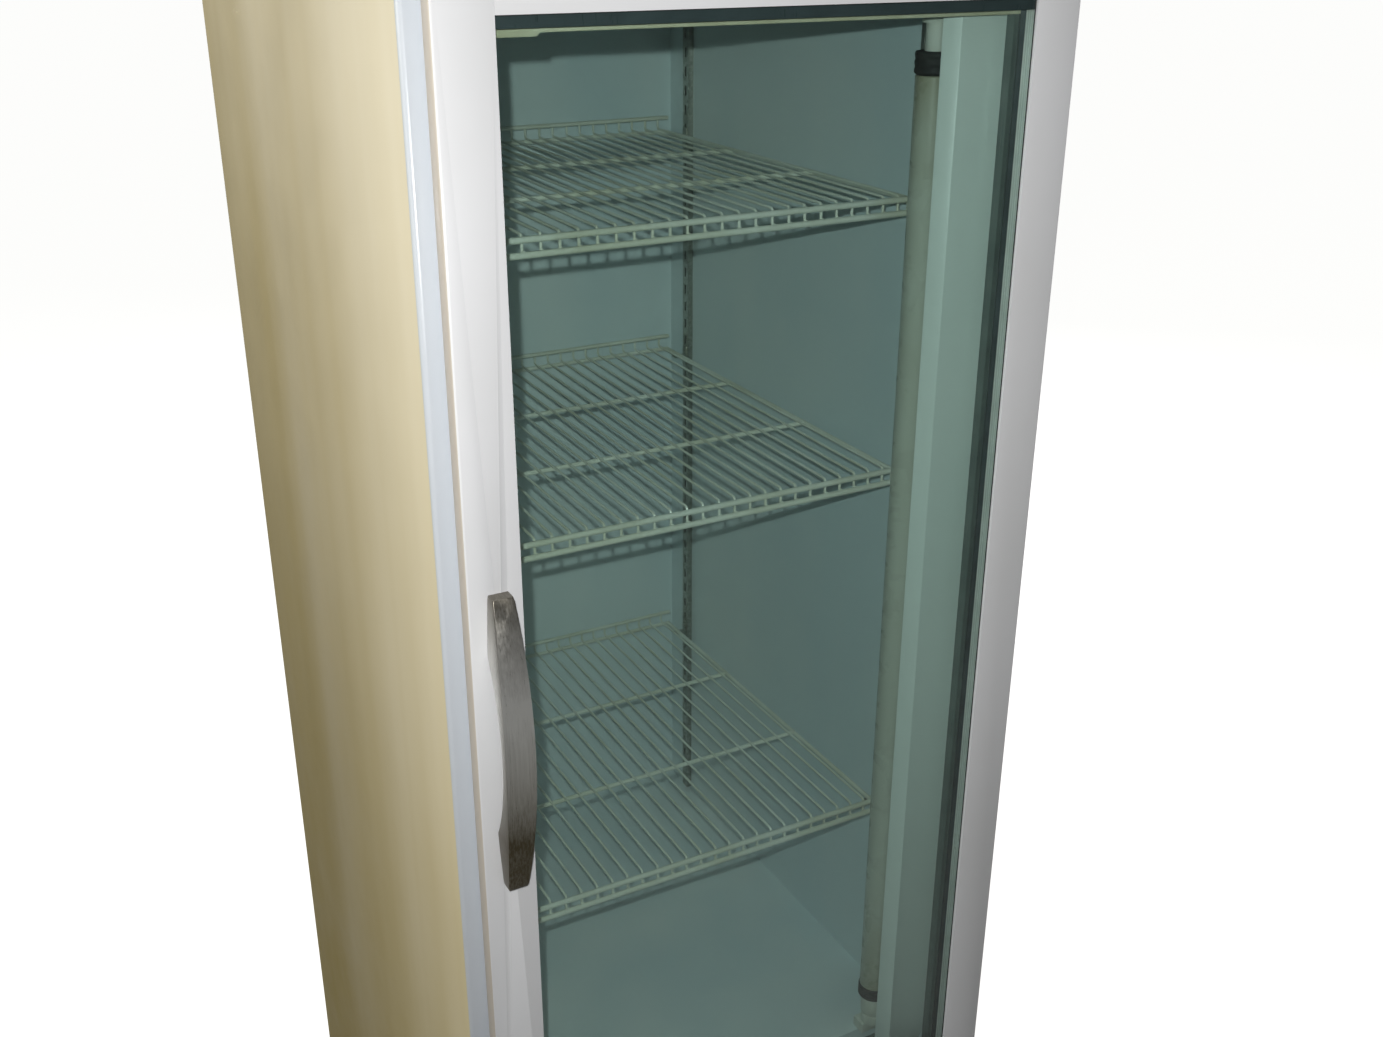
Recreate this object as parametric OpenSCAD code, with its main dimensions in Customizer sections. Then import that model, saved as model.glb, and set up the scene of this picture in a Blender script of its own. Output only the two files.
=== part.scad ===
// Upright glass door merchandiser: one hinged insulated glass door on a refrigerated
// cabinet with wire shelves, a vertical lamp, a lit header and a machine compartment
// below. Millimetres, +Z up, the front faces -Y. The origin is the middle of the
// bounding box, at floor level. Depths are counted back from the door's front face.

/* [Cabinet] */
// Overall width of the cabinet
cabinet_w = 690; // [680:1:700]
// Height of the insulated box's top above the floor
box_top = 1910; // [1890:1:1930]
// Height of the header's top above the floor
header_top = 2000; // [1990:1:2020]
// Depth of the cabinet's back face behind the door's front face
back_depth = 806; // [796:1:820]
// Thickness of the insulated side walls
side_wall = 70; // [66:1:72]
// Thickness of the insulated back wall
back_wall = 51; // [45:1:55]
// Thickness of the sheet metal skins
skin = 1; // [0.8:0.1:1.5]
// Height of the underside of the base above the floor
base_z = 22; // [20:1:26]

/* [Interior] */
// Height of the interior floor
floor_z = 389; // [385:1:393]
// Height of the interior ceiling
ceiling_z = 1850; // [1840:1:1855]
// Height of the soffit over the door opening
soffit_z = 1700; // [1698:1:1704]
// Depth at which the soffit ends and the ceiling rises
soffit_depth = 160; // [155:1:165]
// Depth at which the raised interior floor begins
sill_depth = 85; // [80:1:90]
// Drop from the interior floor to the front sill
sill_drop = 20; // [18:1:22]

/* [Door] */
// Width of the door
door_w = 660; // [656:1:664]
// Height of the door's bottom edge
door_z = 322; // [318:1:324]
// Height of the door's top edge
door_top = 1737; // [1734:1:1738]
// Visible width of the door frame
frame_w = 54; // [50:1:58]
// Distance that the handle stands out from the door
handle_out = 38; // [34:1:42]
// Length of the handle
handle_len = 319; // [300:1:330]
// Height of the handle's middle
handle_z = 1025; // [960:1:1060]

/* [Shelves] */
// Heights of the three shelves' tops
shelf_heights = [1475, 1159, 699];
// Width of a shelf
shelf_w = 508; // [500:1:512]
// Depth of a shelf's front edge
shelf_front = 149; // [145:1:155]
// Depth of a shelf's back edge
shelf_back = 729; // [720:1:735]
// Spacing of the front-to-back wires
wire_pitch = 20; // [18:1:22]
// Number of front-to-back wires
wire_count = 25; // [21:2:25]

/* [Lamp] */
// Distance of the lamp's axis from the middle of the cabinet
lamp_x = 219; // [215:1:222]
// Depth of the lamp's axis
lamp_depth = 80; // [78:1:84]
// Radius of the lamp
lamp_r = 19; // [17:0.5:20]
// Height of the lamp tube's lower end
lamp_z = 464; // [460:1:468]
// Height of the lamp tube's upper end
lamp_top = 1607; // [1600:1:1610]

/* [Hidden] */

$fn = 48;

// Hairline seam between neighbouring pieces of one node
seam = 0.2;

// Overall placing
total_depth = handle_out + back_depth;
door_y = handle_out - total_depth / 2;
function at(depth) = door_y + depth;
half_w = cabinet_w / 2;
inner_x = half_w - side_wall;

// Planes of the cabinet, as depths
flange_depth = 31;
flange_t = 6;
liner_front = flange_depth + flange_t;
inner_back = back_depth - back_wall;
header_back = 112;
header_z = 1766;
header_front = 2;
machine_top = 335;
flange_z = 295;
sill_z = floor_z - sill_drop;

// Door
door_h = door_top - door_z;
glass_z0 = door_z + frame_w + 2;
glass_z1 = door_top - frame_w - 1;
edge_r = 3;
skin_depth = 17;
frame_back = 24;
stile_plug = 20;
lip_back = 27;
lip_in = 32;
glass_bite = 17;
pane_t = 4;
pane_gap = 12;
gasket_in = 13;
gasket_w = 18;
gasket_back = 30.6;
pivot_in = 12;
pivot_x = door_w / 2 - pivot_in;
pivot_y = at(12);
pin_r = 4;
bush_r = 7;
running = 0.06;

// Fans, drawn about their own axes
evap_fan_pos = [0, at(285), 1732];
evap_fan_r = 75;
cond_fan_pos = [-130, at(150), 165];
cond_fan_r = 85;
evap_z = 1720;

// Levelling legs, as [x, depth]
leg_x = 300;
leg_front_depth = 90;
leg_rear_depth = 760;
stud_r = 6;

// Controls on the underside of the evaporator housing
knob_pos = [150, at(205), evap_z];
rocker_pos = [-150, at(205), evap_z];

// Header lamp
header_lamp_pos = [0, at(60), 1883];

// ---------- shared shapes ----------

// A box from its lowest corner to its highest corner.
module block(low, high) {
    translate(low) cube(high - low);
}

// An outline in Y and Z, extruded along X from x.
module along_x(x, length) {
    translate([x, 0, 0]) rotate([90, 0, 90]) linear_extrude(length) children();
}

// An outline in X and Z, extruded along Y from y.
module along_y(y, length) {
    translate([0, y + length, 0]) rotate([90, 0, 0]) linear_extrude(length) children();
}

module rod_x(start, r, length) {
    translate(start) rotate([0, 90, 0]) cylinder(r = r, h = length);
}

module rod_y(start, r, length) {
    translate(start) rotate([-90, 0, 0]) cylinder(r = r, h = length);
}

module rod_z(start, r, length) {
    translate(start) cylinder(r = r, h = length);
}

function arc(centre, r, from, to, steps) = [
    for (i = [0 : steps])
        let (a = from + (to - from) * i / steps)
            [centre[0] + r * cos(a), centre[1] + r * sin(a)]
];

// Straight tubes joined by brazed ball fittings, which hide the tubes' ends.
module pipe(points, r) {
    last = len(points) - 1;
    for (i = [0 : last - 1]) {
        step = points[i + 1] - points[i];
        length = norm(step);
        tilt = acos(step[2] / length);
        turn = atan2(step[1], step[0]);
        from = i == 0 ? 0 : r;
        to = i == last - 1 ? length : length - r;
        translate(points[i]) rotate([0, tilt, turn])
            translate([0, 0, from]) cylinder(r = r, h = to - from);
    }
    for (i = [1 : last - 1]) translate(points[i]) sphere(r = 1.6 * r);
}

module mirrored() {
    children();
    mirror([1, 0, 0]) children();
}

// ---------- cabinet shell ----------

// Outline of the cabinet's side in Y and Z, notched for the header.
side_outline = [
    [at(liner_front), base_z],
    [at(back_depth), base_z],
    [at(back_depth), box_top],
    [at(header_back), box_top],
    [at(header_back), header_z],
    [at(liner_front), header_z]
];

// Outline of the storage cavity in Y and Z, grown outwards by g.
function cavity_outline(g) = [
    [at(liner_front), sill_z - g],
    [at(sill_depth) + g, sill_z - g],
    [at(sill_depth) + g, floor_z - g],
    [at(inner_back) + g, floor_z - g],
    [at(inner_back) + g, ceiling_z + g],
    [at(soffit_depth) - g, ceiling_z + g],
    [at(soffit_depth) - g, soffit_z + g],
    [at(liner_front), soffit_z + g]
];

module side_panel_left() {
    color("wheat") along_x(-half_w, skin) polygon(side_outline);
}

module side_panel_right() {
    color("wheat") along_x(half_w - skin, skin) polygon(side_outline);
}

module back_panel() {
    color("lightgray")
        block([skin - half_w, at(back_depth) - skin, machine_top],
              [half_w - skin, at(back_depth), box_top - skin]);
}

module top_panel() {
    color("lightgray")
        block([skin - half_w, at(header_back), box_top - skin],
              [half_w - skin, at(back_depth), box_top]);
}

// Width and depth range of the pipe chase inside the back wall's foam.
chase_half = 20;
chase_front = inner_back + 12;
chase_back = back_depth - 14;
chase_top = 1790;

module foam_insulation() {
    color("khaki") difference() {
        along_x(skin - half_w, cabinet_w - 2 * skin) polygon([
            [at(liner_front), machine_top],
            [at(back_depth) - skin, machine_top],
            [at(back_depth) - skin, box_top - skin],
            [at(header_back), box_top - skin],
            [at(header_back), header_z],
            [at(liner_front), header_z]
        ]);
        along_x(-inner_x - skin, 2 * (inner_x + skin)) polygon(cavity_outline(skin));
        block([-inner_x - skin, at(liner_front) - 1, sill_z - skin],
              [inner_x + skin, at(liner_front) + 1, soffit_z + skin]);
        block([-chase_half, at(chase_front), machine_top],
              [chase_half, at(chase_back), chase_top]);
        block([-chase_half, at(inner_back), chase_top - 30],
              [chase_half, at(chase_front) + 1, chase_top]);
    }
}

module liner_side(x) {
    color("powderblue") along_x(x, skin) polygon(cavity_outline(0));
}

module liner_left() {
    liner_side(-inner_x - skin);
}

module liner_right() {
    liner_side(inner_x);
}

module liner_back() {
    color("powderblue") difference() {
        block([-inner_x - skin, at(inner_back), floor_z - skin],
              [inner_x + skin, at(inner_back) + skin, ceiling_z + skin]);
        block([-chase_half, at(inner_back) - 1, chase_top - 30],
              [chase_half, at(inner_back) + skin + 1, chase_top]);
    }
}

// Three folded sheets: the soffit, the bulkhead behind the header and the ceiling.
module liner_ceiling() {
    x0 = -inner_x - skin;
    x1 = inner_x + skin;
    color("powderblue") {
        block([x0, at(liner_front), soffit_z],
              [x1, at(soffit_depth) - skin - seam, soffit_z + skin]);
        block([x0, at(soffit_depth) - skin, soffit_z], [x1, at(soffit_depth), ceiling_z + skin]);
        block([x0, at(soffit_depth) + seam, ceiling_z], [x1, at(inner_back), ceiling_z + skin]);
    }
}

// Floor pan, its turned-down front edge and the lower sheet under the sill.
module liner_floor() {
    color("powderblue") {
        block([-inner_x, at(sill_depth) + skin + seam, floor_z - skin],
              [inner_x, at(inner_back), floor_z]);
        block([-inner_x, at(sill_depth), sill_z], [inner_x, at(sill_depth) + skin, floor_z]);
        block([-inner_x, at(liner_front), sill_z - skin],
              [inner_x, at(sill_depth) - seam, sill_z]);
    }
}

// Flat frame that the door closes on, with rounded outer edges.
module face_frame() {
    r = flange_t - 1;
    stile = concat(
        [[inner_x, at(liner_front)], [inner_x, at(flange_depth)]],
        arc([half_w - r, at(flange_depth) + r], r, -90, 0, 6),
        [[half_w, at(liner_front)]]
    );
    color("aliceblue") {
        difference() {
            mirrored() translate([0, 0, flange_z]) linear_extrude(header_z - flange_z)
                polygon(stile);
            hinge_screw_places() rod_y([0, -1, 0], screw_r, flange_t + 2);
        }
        for (z = [[soffit_z, header_z], [flange_z, sill_z]])
            block([seam - inner_x, at(flange_depth), z[0]],
                  [inner_x - seam, at(liner_front), z[1]]);
    }
}

// Plastic strips that line the door opening and wrap on to the flat frame's face.
module breaker_strips() {
    t = 1.2;
    wrap = 4;
    front = at(flange_depth) - 0.8;
    back = at(liner_front) + 4.5;
    color("dimgray") {
        mirrored() {
            block([inner_x - t, front, sill_z], [inner_x, back, soffit_z - t]);
            block([inner_x - t, front, sill_z], [inner_x + wrap, at(flange_depth), soffit_z - t]);
        }
        block([-inner_x, front, soffit_z - t + seam], [inner_x, back, soffit_z]);
        block([-inner_x, front, soffit_z - t + seam], [inner_x, at(flange_depth), soffit_z + wrap]);
        block([t + seam - inner_x, front, sill_z],
              [inner_x - t - seam, at(sill_depth), sill_z + t]);
    }
}

// ---------- base and machine compartment ----------

chassis_t = 2;
chassis_front = 44;
post_w = 22;

module leg_places() {
    for (x = [-leg_x, leg_x], depth = [leg_front_depth, leg_rear_depth])
        translate([x, at(depth), 0]) children();
}

module base_chassis() {
    x1 = half_w - skin;
    y0 = at(chassis_front);
    y1 = at(cover_depth) - seam;
    channel_h = 26;
    color("silver") difference() {
        union() {
            block([-x1, y0, base_z], [x1, y1, base_z + chassis_t]);
            block([-x1, at(liner_front), machine_top - chassis_t], [x1, y1, machine_top]);
            for (y = [y0, y1 - chassis_t])
                block([-x1, y, base_z], [x1, y + chassis_t, base_z + channel_h]);
            for (x = [-x1, x1 - post_w], y = [y0, y1 - post_w])
                block([x, y, base_z],
                      [x + post_w, y + post_w, machine_top - chassis_t - seam]);
            leg_places() cylinder(r = 14, h = base_z + channel_h);
        }
        block([-half_w, at(0), -1], [half_w, at(back_depth), base_z]);
        leg_places() translate([0, 0, base_z - 1])
            cylinder(r = stud_r + running, h = channel_h + 2);
        block([-chase_half, at(chase_front), machine_top - 10],
              [chase_half, at(chase_back), machine_top + 1]);
    }
}

grille_z0 = 30;
grille_z1 = 290;
louvre_rows = 13;
louvre_cols = 3;

// One column of a louvred panel's slots, in X and Z.
module slots(x0, x1, z0, z1, rows, height) {
    for (i = [0 : rows - 1])
        translate([x0, z0 + (z1 - z0 - height) * i / (rows - 1)]) square([x1 - x0, height]);
}

module front_grille() {
    x1 = half_w - 3;
    col_w = 196;
    hood = 4;
    face = at(flange_depth) - 1;
    color("dimgray") {
        difference() {
            union() {
                block([-x1, face, grille_z0], [x1, face + skin, grille_z1]);
                mirrored() block([x1 - skin, face, grille_z0],
                                 [x1, at(chassis_front), grille_z1]);
                for (z = [grille_z0, grille_z1 - skin])
                    block([-x1, face, z], [x1, at(chassis_front), z + skin]);
            }
            along_y(face - 1, skin + 2)
                for (c = [0 : louvre_cols - 1])
                    translate([(c - 1) * (col_w + 14) - col_w / 2, 0])
                        slots(0, col_w, grille_z0 + 16, grille_z1 - 20, louvre_rows, 7);
            for (p = grille_screws) rod_y([p[0], face - 1, p[1]], screw_r, skin + 2);
        }
        for (c = [0 : louvre_cols - 1], i = [0 : louvre_rows - 1]) {
            x = (c - 1) * (col_w + 14) - col_w / 2;
            z = grille_z0 + 16 + (grille_z1 - grille_z0 - 43) * i / (louvre_rows - 1) + 7;
            along_x(x, col_w) polygon([[face, z], [face - hood, z - 5], [face - hood, z - 6.2],
                                       [face, z - 1.2], [face + skin, z - 1.2],
                                       [face + skin, z]]);
        }
    }
}

module rear_cover() {
    x1 = half_w - 4;
    y0 = at(cover_depth);
    color("lightgray") difference() {
        block([-x1, y0, grille_z0 + 20], [x1, y0 + skin, machine_top - chassis_t - seam]);
        along_y(y0 - 1, skin + 2) {
            slots(-60, 120, 110, 300, 10, 6);
            slots(140, 320, 110, 300, 10, 6);
            translate([inlet_x - 15, inlet_z - 11]) square([30, 22]);
        }
        for (p = cover_screws) rod_y([p[0], y0 - 1, p[1]], screw_r, skin + 2);
    }
}

inlet_x = -250;
inlet_z = 160;
cover_depth = back_depth - 4;

// Recessed three-blade appliance inlet.
module power_inlet() {
    y1 = at(cover_depth) + skin;
    color("black") {
        difference() {
            union() {
                block([inlet_x - 14.5, y1 - 26, inlet_z - 10.5],
                      [inlet_x + 14.5, y1, inlet_z + 10.5]);
                block([inlet_x - 25, y1 - skin - 3, inlet_z - 15],
                      [inlet_x + 25, y1 - skin, inlet_z + 15]);
            }
            block([inlet_x - 12, y1 - 18, inlet_z - 8], [inlet_x + 12, y1 + 1, inlet_z + 8]);
        }
        for (p = [[-7, -3], [7, -3], [0, 3]])
            block([inlet_x + p[0] - 1, y1 - 18, inlet_z + p[1] - 2],
                  [inlet_x + p[0] + 1, y1 - 3, inlet_z + p[1] + 2]);
    }
}

comp_pos = [190, at(560), base_z + chassis_t];
comp_r = 78;

// Hermetic compressor: a welded shell on a foot plate, with its terminal box.
module compressor() {
    color("black") translate(comp_pos) {
        rotate_extrude() polygon(concat(
            [[0, 16], [comp_r - 6, 16], [comp_r, 24], [comp_r, 84], [comp_r + 3, 86],
             [comp_r + 3, 92], [comp_r, 94]],
            arc([comp_r - 40, 120], 40, 0, 90, 8),
            [[0, 160]]
        ));
        difference() {
            block([-100, -70, 10], [100, 70, 16]);
            for (x = [-86, 86], y = [-56, 56]) rod_z([x, y, 9], 6, 8);
        }
        for (x = [-86, 86], y = [-56, 56]) rod_z([x, y, 0], 9, 10);
        block([-comp_r - 24, -26, 50], [-comp_r + 10, 26, 110]);
    }
}

// A finned block: one comb-shaped extrusion between two end plates with return bends.
module finned_coil(length, depth, height, rows, pitch) {
    fins = floor((length - 8) / pitch);
    for (x = [0, length - 2]) block([x, 0, 0], [x + 2, depth, height]);
    linear_extrude(height) polygon(concat(
        [[0, depth / 2 - 2], [0, depth / 2 + 2]],
        [for (i = [0 : fins - 1], k = [0 : 3])
            [4 + i * pitch + (k > 1 ? 1 : 0),
             depth / 2 + (k == 0 || k == 3 ? 2 : depth / 2)]],
        [[length, depth / 2 + 2], [length, depth / 2 - 2]],
        [for (i = [fins - 1 : -1 : 0], k = [0 : 3])
            [4 + i * pitch + (k > 1 ? 0 : 1),
             depth / 2 - (k == 0 || k == 3 ? 2 : depth / 2)]]
    ));
    for (x = [0, length], i = [0 : rows - 1])
        translate([x, depth / 2, height * (i + 0.5) / rows])
            rotate([0, 0, x == 0 ? 90 : -90])
                rotate_extrude(angle = 180) translate([8, 0]) circle(r = 4, $fn = 24);
}

module condenser_coil() {
    color("black") translate([-300, at(52), 64]) finned_coil(340, 40, 200, 6, 6);
}

module condenser_fan_motor() {
    p = cond_fan_pos;
    color("dimgray") {
        rod_y([p[0], p[1] + 22, p[2]], 30, 45);
        rod_y([p[0], p[1] + 4, p[2]], 3, 18);
        difference() {
            block([p[0] - 105, p[1] - 30, base_z + chassis_t],
                  [p[0] + 105, p[1] - 28, p[2] + 98]);
            rod_y([p[0], p[1] - 31, p[2]], cond_fan_r + 6, 4);
        }
        for (s = [-1, 1]) {
            block([p[0] + s * 96 - 4, p[1] - 28, p[2] - 6],
                  [p[0] + s * 96 + 4, p[1] + 50, p[2] + 6]);
            block([p[0] + (s < 0 ? -100 : 29), p[1] + 44, p[2] - 6],
                  [p[0] + (s < 0 ? -29 : 100), p[1] + 50, p[2] + 6]);
        }
    }
}

// Fan wheel along +Z: a hub with pitched blades, bored for its shaft.
module fan_wheel(r, blades, hub_r, thickness) {
    difference() {
        union() {
            cylinder(r = hub_r, h = thickness);
            for (i = [0 : blades - 1])
                rotate([0, 0, i * 360 / blades])
                    translate([hub_r - 3, 0, thickness / 2]) rotate([28, 0, 0])
                        linear_extrude(1.6, center = true) polygon(concat(
                            [[0, -6], [0, 6]],
                            arc([r - hub_r - 16, 3], 18, 80, -80, 8)
                        ));
        }
        translate([0, 0, -1]) cylinder(r = 3 + running, h = thickness + 2);
    }
}

module condenser_fan() {
    color("silver") translate(cond_fan_pos) rotate([90, 0, 0])
        translate([0, 0, -8]) fan_wheel(cond_fan_r, 5, 20, 16);
}

drier_pos = [60, at(330), 90];

module filter_drier() {
    p = drier_pos;
    color("peru") translate(p) rotate([90, 0, 0]) rotate_extrude() polygon([
        [0, -60], [4, -60], [4, -48], [12, -38], [12, 38], [4, 48], [4, 60], [0, 60]
    ]);
}

line_r = 4;

// Discharge, liquid and suction lines between the compressor, coils and drier.
module refrigerant_lines() {
    c = comp_pos;
    p = drier_pos;
    rise = at(chase_front) + 8;
    in_coil = at(coil_back) + 2;
    turn_z = chase_top - 12;
    color("peru") {
        pipe([[c[0] - 30, c[1] - comp_r - 1, 120], [c[0] - 30, at(230), 120],
              [c[0] - 30, at(230), 247], [54, at(72), 247]], line_r);
        pipe([[54, at(72), 86], [p[0], at(150), p[2]], [p[0], p[1] - 60, p[2]]], line_r);
        pipe([[p[0], p[1] + 60, p[2]], [p[0], at(660), p[2]], [-10, rise, p[2]],
              [-10, rise, turn_z], [-10, in_coil, turn_z]], 2);
        pipe([[c[0], c[1] + comp_r + 1, 120], [c[0], at(700), 120], [6, rise, 120],
              [6, rise, turn_z], [6, in_coil, turn_z]], line_r);
    }
}

module condensate_pan() {
    low = [-290, at(470), base_z + chassis_t];
    high = [-60, at(740), base_z + 52];
    wall = [2, 2, 2];
    color("dimgray") difference() {
        block(low, high);
        block(low + wall, high - wall + [0, 0, 10]);
    }
}

// ---------- header ----------

module header_housing() {
    x1 = half_w;
    border = 18;
    back = at(header_back);
    front = at(header_front);
    color("white") difference() {
        block([-x1, front, header_z], [x1, back, header_top]);
        block([skin - x1, front + skin, header_z + skin],
              [x1 - skin, back - skin, header_top - skin]);
        block([border - x1, front - 1, header_z + border],
              [x1 - border, front + skin + 1, header_top - border]);
    }
}

module header_sign_panel() {
    margin = 8;
    front = at(header_front) + skin;
    color("ivory")
        block([margin - half_w, front, header_z + margin],
              [half_w - margin, front + 3, header_top - margin]);
}

module header_lamp() {
    p = header_lamp_pos;
    length = 580;
    color("white") {
        rod_x([-length / 2, p[1], p[2]], 13, length);
        mirrored() for (z = [-6, 6]) rod_x([length / 2, p[1], p[2] + z], 1.2, 8);
    }
}

// Sockets for the two lamps: two in the header, two in the cabinet's corner.
module lamp_holders() {
    p = header_lamp_pos;
    x0 = 291;
    color("white") {
        mirrored() difference() {
            block([x0, p[1] - 12, p[2] - 22], [x0 + 14, at(header_back) - skin, p[2] + 22]);
            for (z = [-6, 6]) rod_x([x0 - 1, p[1], p[2] + z], 1.4, 12);
        }
        translate([lamp_x, at(lamp_depth), 0]) {
            rod_z([0, 0, lamp_top + 23], 11, 27);
            rod_z([0, 0, lamp_top + 50], 15, soffit_z - lamp_top - 50);
            rod_z([0, 0, floor_z + 14], 15, 14);
            block([-18, -4, floor_z], [18, 16, floor_z + 14]);
        }
    }
}

// White folded cover in front of the lamp, with a bevelled edge towards the glass.
module lamp_shield() {
    t = 1.2;
    front = at(41.8);
    bend_x = 219.5;
    bevel = 12.5;
    corner = 30;
    z0 = sill_z + 3;
    color("white") {
        intersection() {
            block([bend_x, front, z0], [inner_x, front + t, soffit_z]);
            along_y(front - 1, t + 2) polygon(concat(
                [[bend_x, soffit_z], [bend_x, z0]],
                arc([inner_x - corner, z0 + corner], corner, -90, 0, 10),
                [[inner_x, soffit_z]]
            ));
        }
        translate([0, 0, z0]) linear_extrude(soffit_z - z0) polygon([
            [bend_x, front], [bend_x, front + t], [bend_x - bevel, front + bevel + t],
            [bend_x - bevel - t, front + bevel]
        ]);
    }
}

module lamp_tube() {
    color("white") translate([lamp_x, at(lamp_depth), 0])
        rod_z([0, 0, lamp_z], lamp_r, lamp_top - lamp_z);
}

// Rubber sleeve and neck at each end of the lamp.
module lamp_end_caps() {
    color("black") translate([lamp_x, at(lamp_depth), 0]) {
        rod_z([0, 0, lamp_top], lamp_r + 1.5, 23);
        rod_z([0, 0, lamp_z - 17], lamp_r + 1.5, 17);
        rod_z([0, 0, floor_z + 28], 16, lamp_z - 17 - floor_z - 28);
    }
}

module lamp_ballast() {
    back = at(header_back) - skin;
    color("silver") block([-290, back - 44, header_z + 6], [-60, back, header_z + 44]);
}

// ---------- shelving ----------

pilaster_w = 16;
pilaster_t = 8;
pilaster_depths = [160.5, 695];
pilaster_z0 = floor_z + 6;
pilaster_z1 = 1696;
slot_pitch = 25.4;

// Slotted steel channels on the side walls.
module pilasters() {
    count = floor((pilaster_z1 - pilaster_z0 - 12) / slot_pitch);
    for (x = [-1, 1], depth = pilaster_depths)
        translate([x * inner_x, at(depth), 0]) mirror([x > 0 ? 1 : 0, 0, 0])
            color("silver") difference() {
                block([0, -pilaster_w / 2, pilaster_z0],
                      [pilaster_t, pilaster_w / 2, pilaster_z1]);
                block([-1, 1.2 - pilaster_w / 2, pilaster_z0 - 1],
                      [pilaster_t - 1.2, pilaster_w / 2 - 1.2, pilaster_z1 + 1]);
                along_x(pilaster_t - 2, 3) for (i = [0 : count])
                    translate([-2, pilaster_z0 + 8 + i * slot_pitch]) square([4, 13]);
            }
}

// Bent clips that hook into the pilasters under each shelf.
module shelf_clips() {
    reach = inner_x - pilaster_t;
    color("silver")
        for (s = [-1, 1], depth = pilaster_depths, z = shelf_heights)
            translate([0, at(depth), z - shelf_drop - 0.4])
                mirror([s < 0 ? 1 : 0, 0, 0]) along_y(-5, 10) polygon([
                    [reach, 12], [reach, -16], [reach - 2, -16], [reach - 2, -4],
                    [reach - 20, -2], [reach - 20, 0], [reach - 2, 0], [reach - 2, 12]
                ]);
}

wire_r = 1.6;
bar_r = 3;
shelf_drop = 2 * wire_r + 2 * bar_r - 0.4;
lip_drop = 15;
stop_rise = 17;

// Wire shelf in three welded racks: the deck, the lip below its front edge and the rear stop.
module wire_shelf(z) {
    x1 = shelf_w / 2 - bar_r;
    y0 = at(shelf_front);
    y1 = at(shelf_back);
    bar_z = -2 * wire_r - bar_r + 0.4;
    lip_y = y0 + 2 * bar_r + seam;
    span = y1 - y0 - 2 * bar_r;
    color("honeydew") translate([0, 0, z]) {
        for (i = [0 : wire_count - 1]) {
            x0 = (i - (wire_count - 1) / 2) * wire_pitch - wire_r;
            x2 = x0 + 2 * wire_r;
            block([x0, y0 + 2, -2 * wire_r], [x2, y1 - 2 * wire_r - seam, 0]);
            block([x0, lip_y, bar_z - lip_drop - 1],
                  [x2, lip_y + 2 * wire_r, -2 * wire_r - seam]);
            block([x0, y1 - 2 * wire_r, -2], [x2, y1, stop_rise - 1]);
        }
        rotate([0, 90, 0]) {
            bars = [
                [y0 + bar_r, bar_z], [y0 + bar_r + 0.6, bar_z - lip_drop],
                [y0 + bar_r + span / 3, bar_z], [y0 + bar_r + span * 2 / 3, bar_z],
                [y1 - bar_r - 2, bar_z], [y1 - bar_r - 2.6, stop_rise - bar_r]
            ];
            for (b = bars)
                translate([-b[1], b[0], -x1 - bar_r]) rotate([0, 0, 22.5])
                    cylinder(r = bar_r, h = 2 * (x1 + bar_r), $fn = 8);
        }
        for (x = [-x1, x1])
            translate([x, y0, bar_z]) rotate([-90, 0, 0]) rotate([0, 0, 22.5])
                cylinder(r = bar_r, h = y1 - y0, $fn = 8);
    }
}

module shelf_upper() {
    wire_shelf(shelf_heights[0]);
}

module shelf_middle() {
    wire_shelf(shelf_heights[1]);
}

module shelf_lower() {
    wire_shelf(shelf_heights[2]);
}

// ---------- evaporator ----------

evap_half = 240;
evap_front = soffit_depth + 8;
evap_back = 680;

// Sheet metal housing hung from the ceiling, open to its fan below and to the rear.
module evaporator_housing() {
    t = 1.5;
    low = [-evap_half, at(evap_front), evap_z];
    high = [evap_half, at(evap_back), ceiling_z];
    color("lightgray") difference() {
        block(low, high);
        block(low + [t, t, t], high + [-t, -t, 1]);
        rod_z([evap_fan_pos[0], evap_fan_pos[1], evap_z - 1], evap_fan_r + 6, 4);
        along_y(high[1] - t - 1, t + 2)
            for (c = [-1, 1]) slots(c * 130 - 90, c * 130 + 90, evap_z + 20, ceiling_z - 20, 6, 8);
        rod_z([knob_pos[0], knob_pos[1], evap_z - 1], 5, 4);
        block(rocker_pos - [11, 7, 1], rocker_pos + [11, 7, 4]);
        block([-chase_half, high[1] - 5, chase_top - 30], [chase_half, high[1] + 1, chase_top]);
    }
}

coil_front = 420;
coil_back = 580;

module evaporator_coil() {
    color("silver") translate([-190, at(coil_front), evap_z + 12])
        finned_coil(380, coil_back - coil_front, 110, 5, 8);
}

module evaporator_fan_motor() {
    p = evap_fan_pos;
    color("dimgray") {
        rod_z([p[0], p[1], p[2] + 24], 26, 46);
        rod_z([p[0], p[1], p[2] + 4], 3, 20);
        for (s = [-1, 1]) {
            block([p[0] + s * 92 - 6, p[1] - 6, evap_z + 1.5],
                  [p[0] + s * 92 + 6, p[1] + 6, p[2] + 60]);
            block([p[0] + (s < 0 ? -98 : 25), p[1] - 6, p[2] + 54],
                  [p[0] + (s < 0 ? -25 : 98), p[1] + 6, p[2] + 60]);
        }
    }
}

module evaporator_fan() {
    color("silver") translate(evap_fan_pos) fan_wheel(evap_fan_r, 5, 18, 14);
}

knob_shaft_r = 3;

module thermostat() {
    p = knob_pos;
    color("black") {
        block([p[0] - 22, p[1] - 18, p[2] + 1.5], [p[0] + 22, p[1] + 18, p[2] + 36]);
        rod_z([p[0], p[1], p[2] - 10], knob_shaft_r, 12);
    }
}

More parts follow.
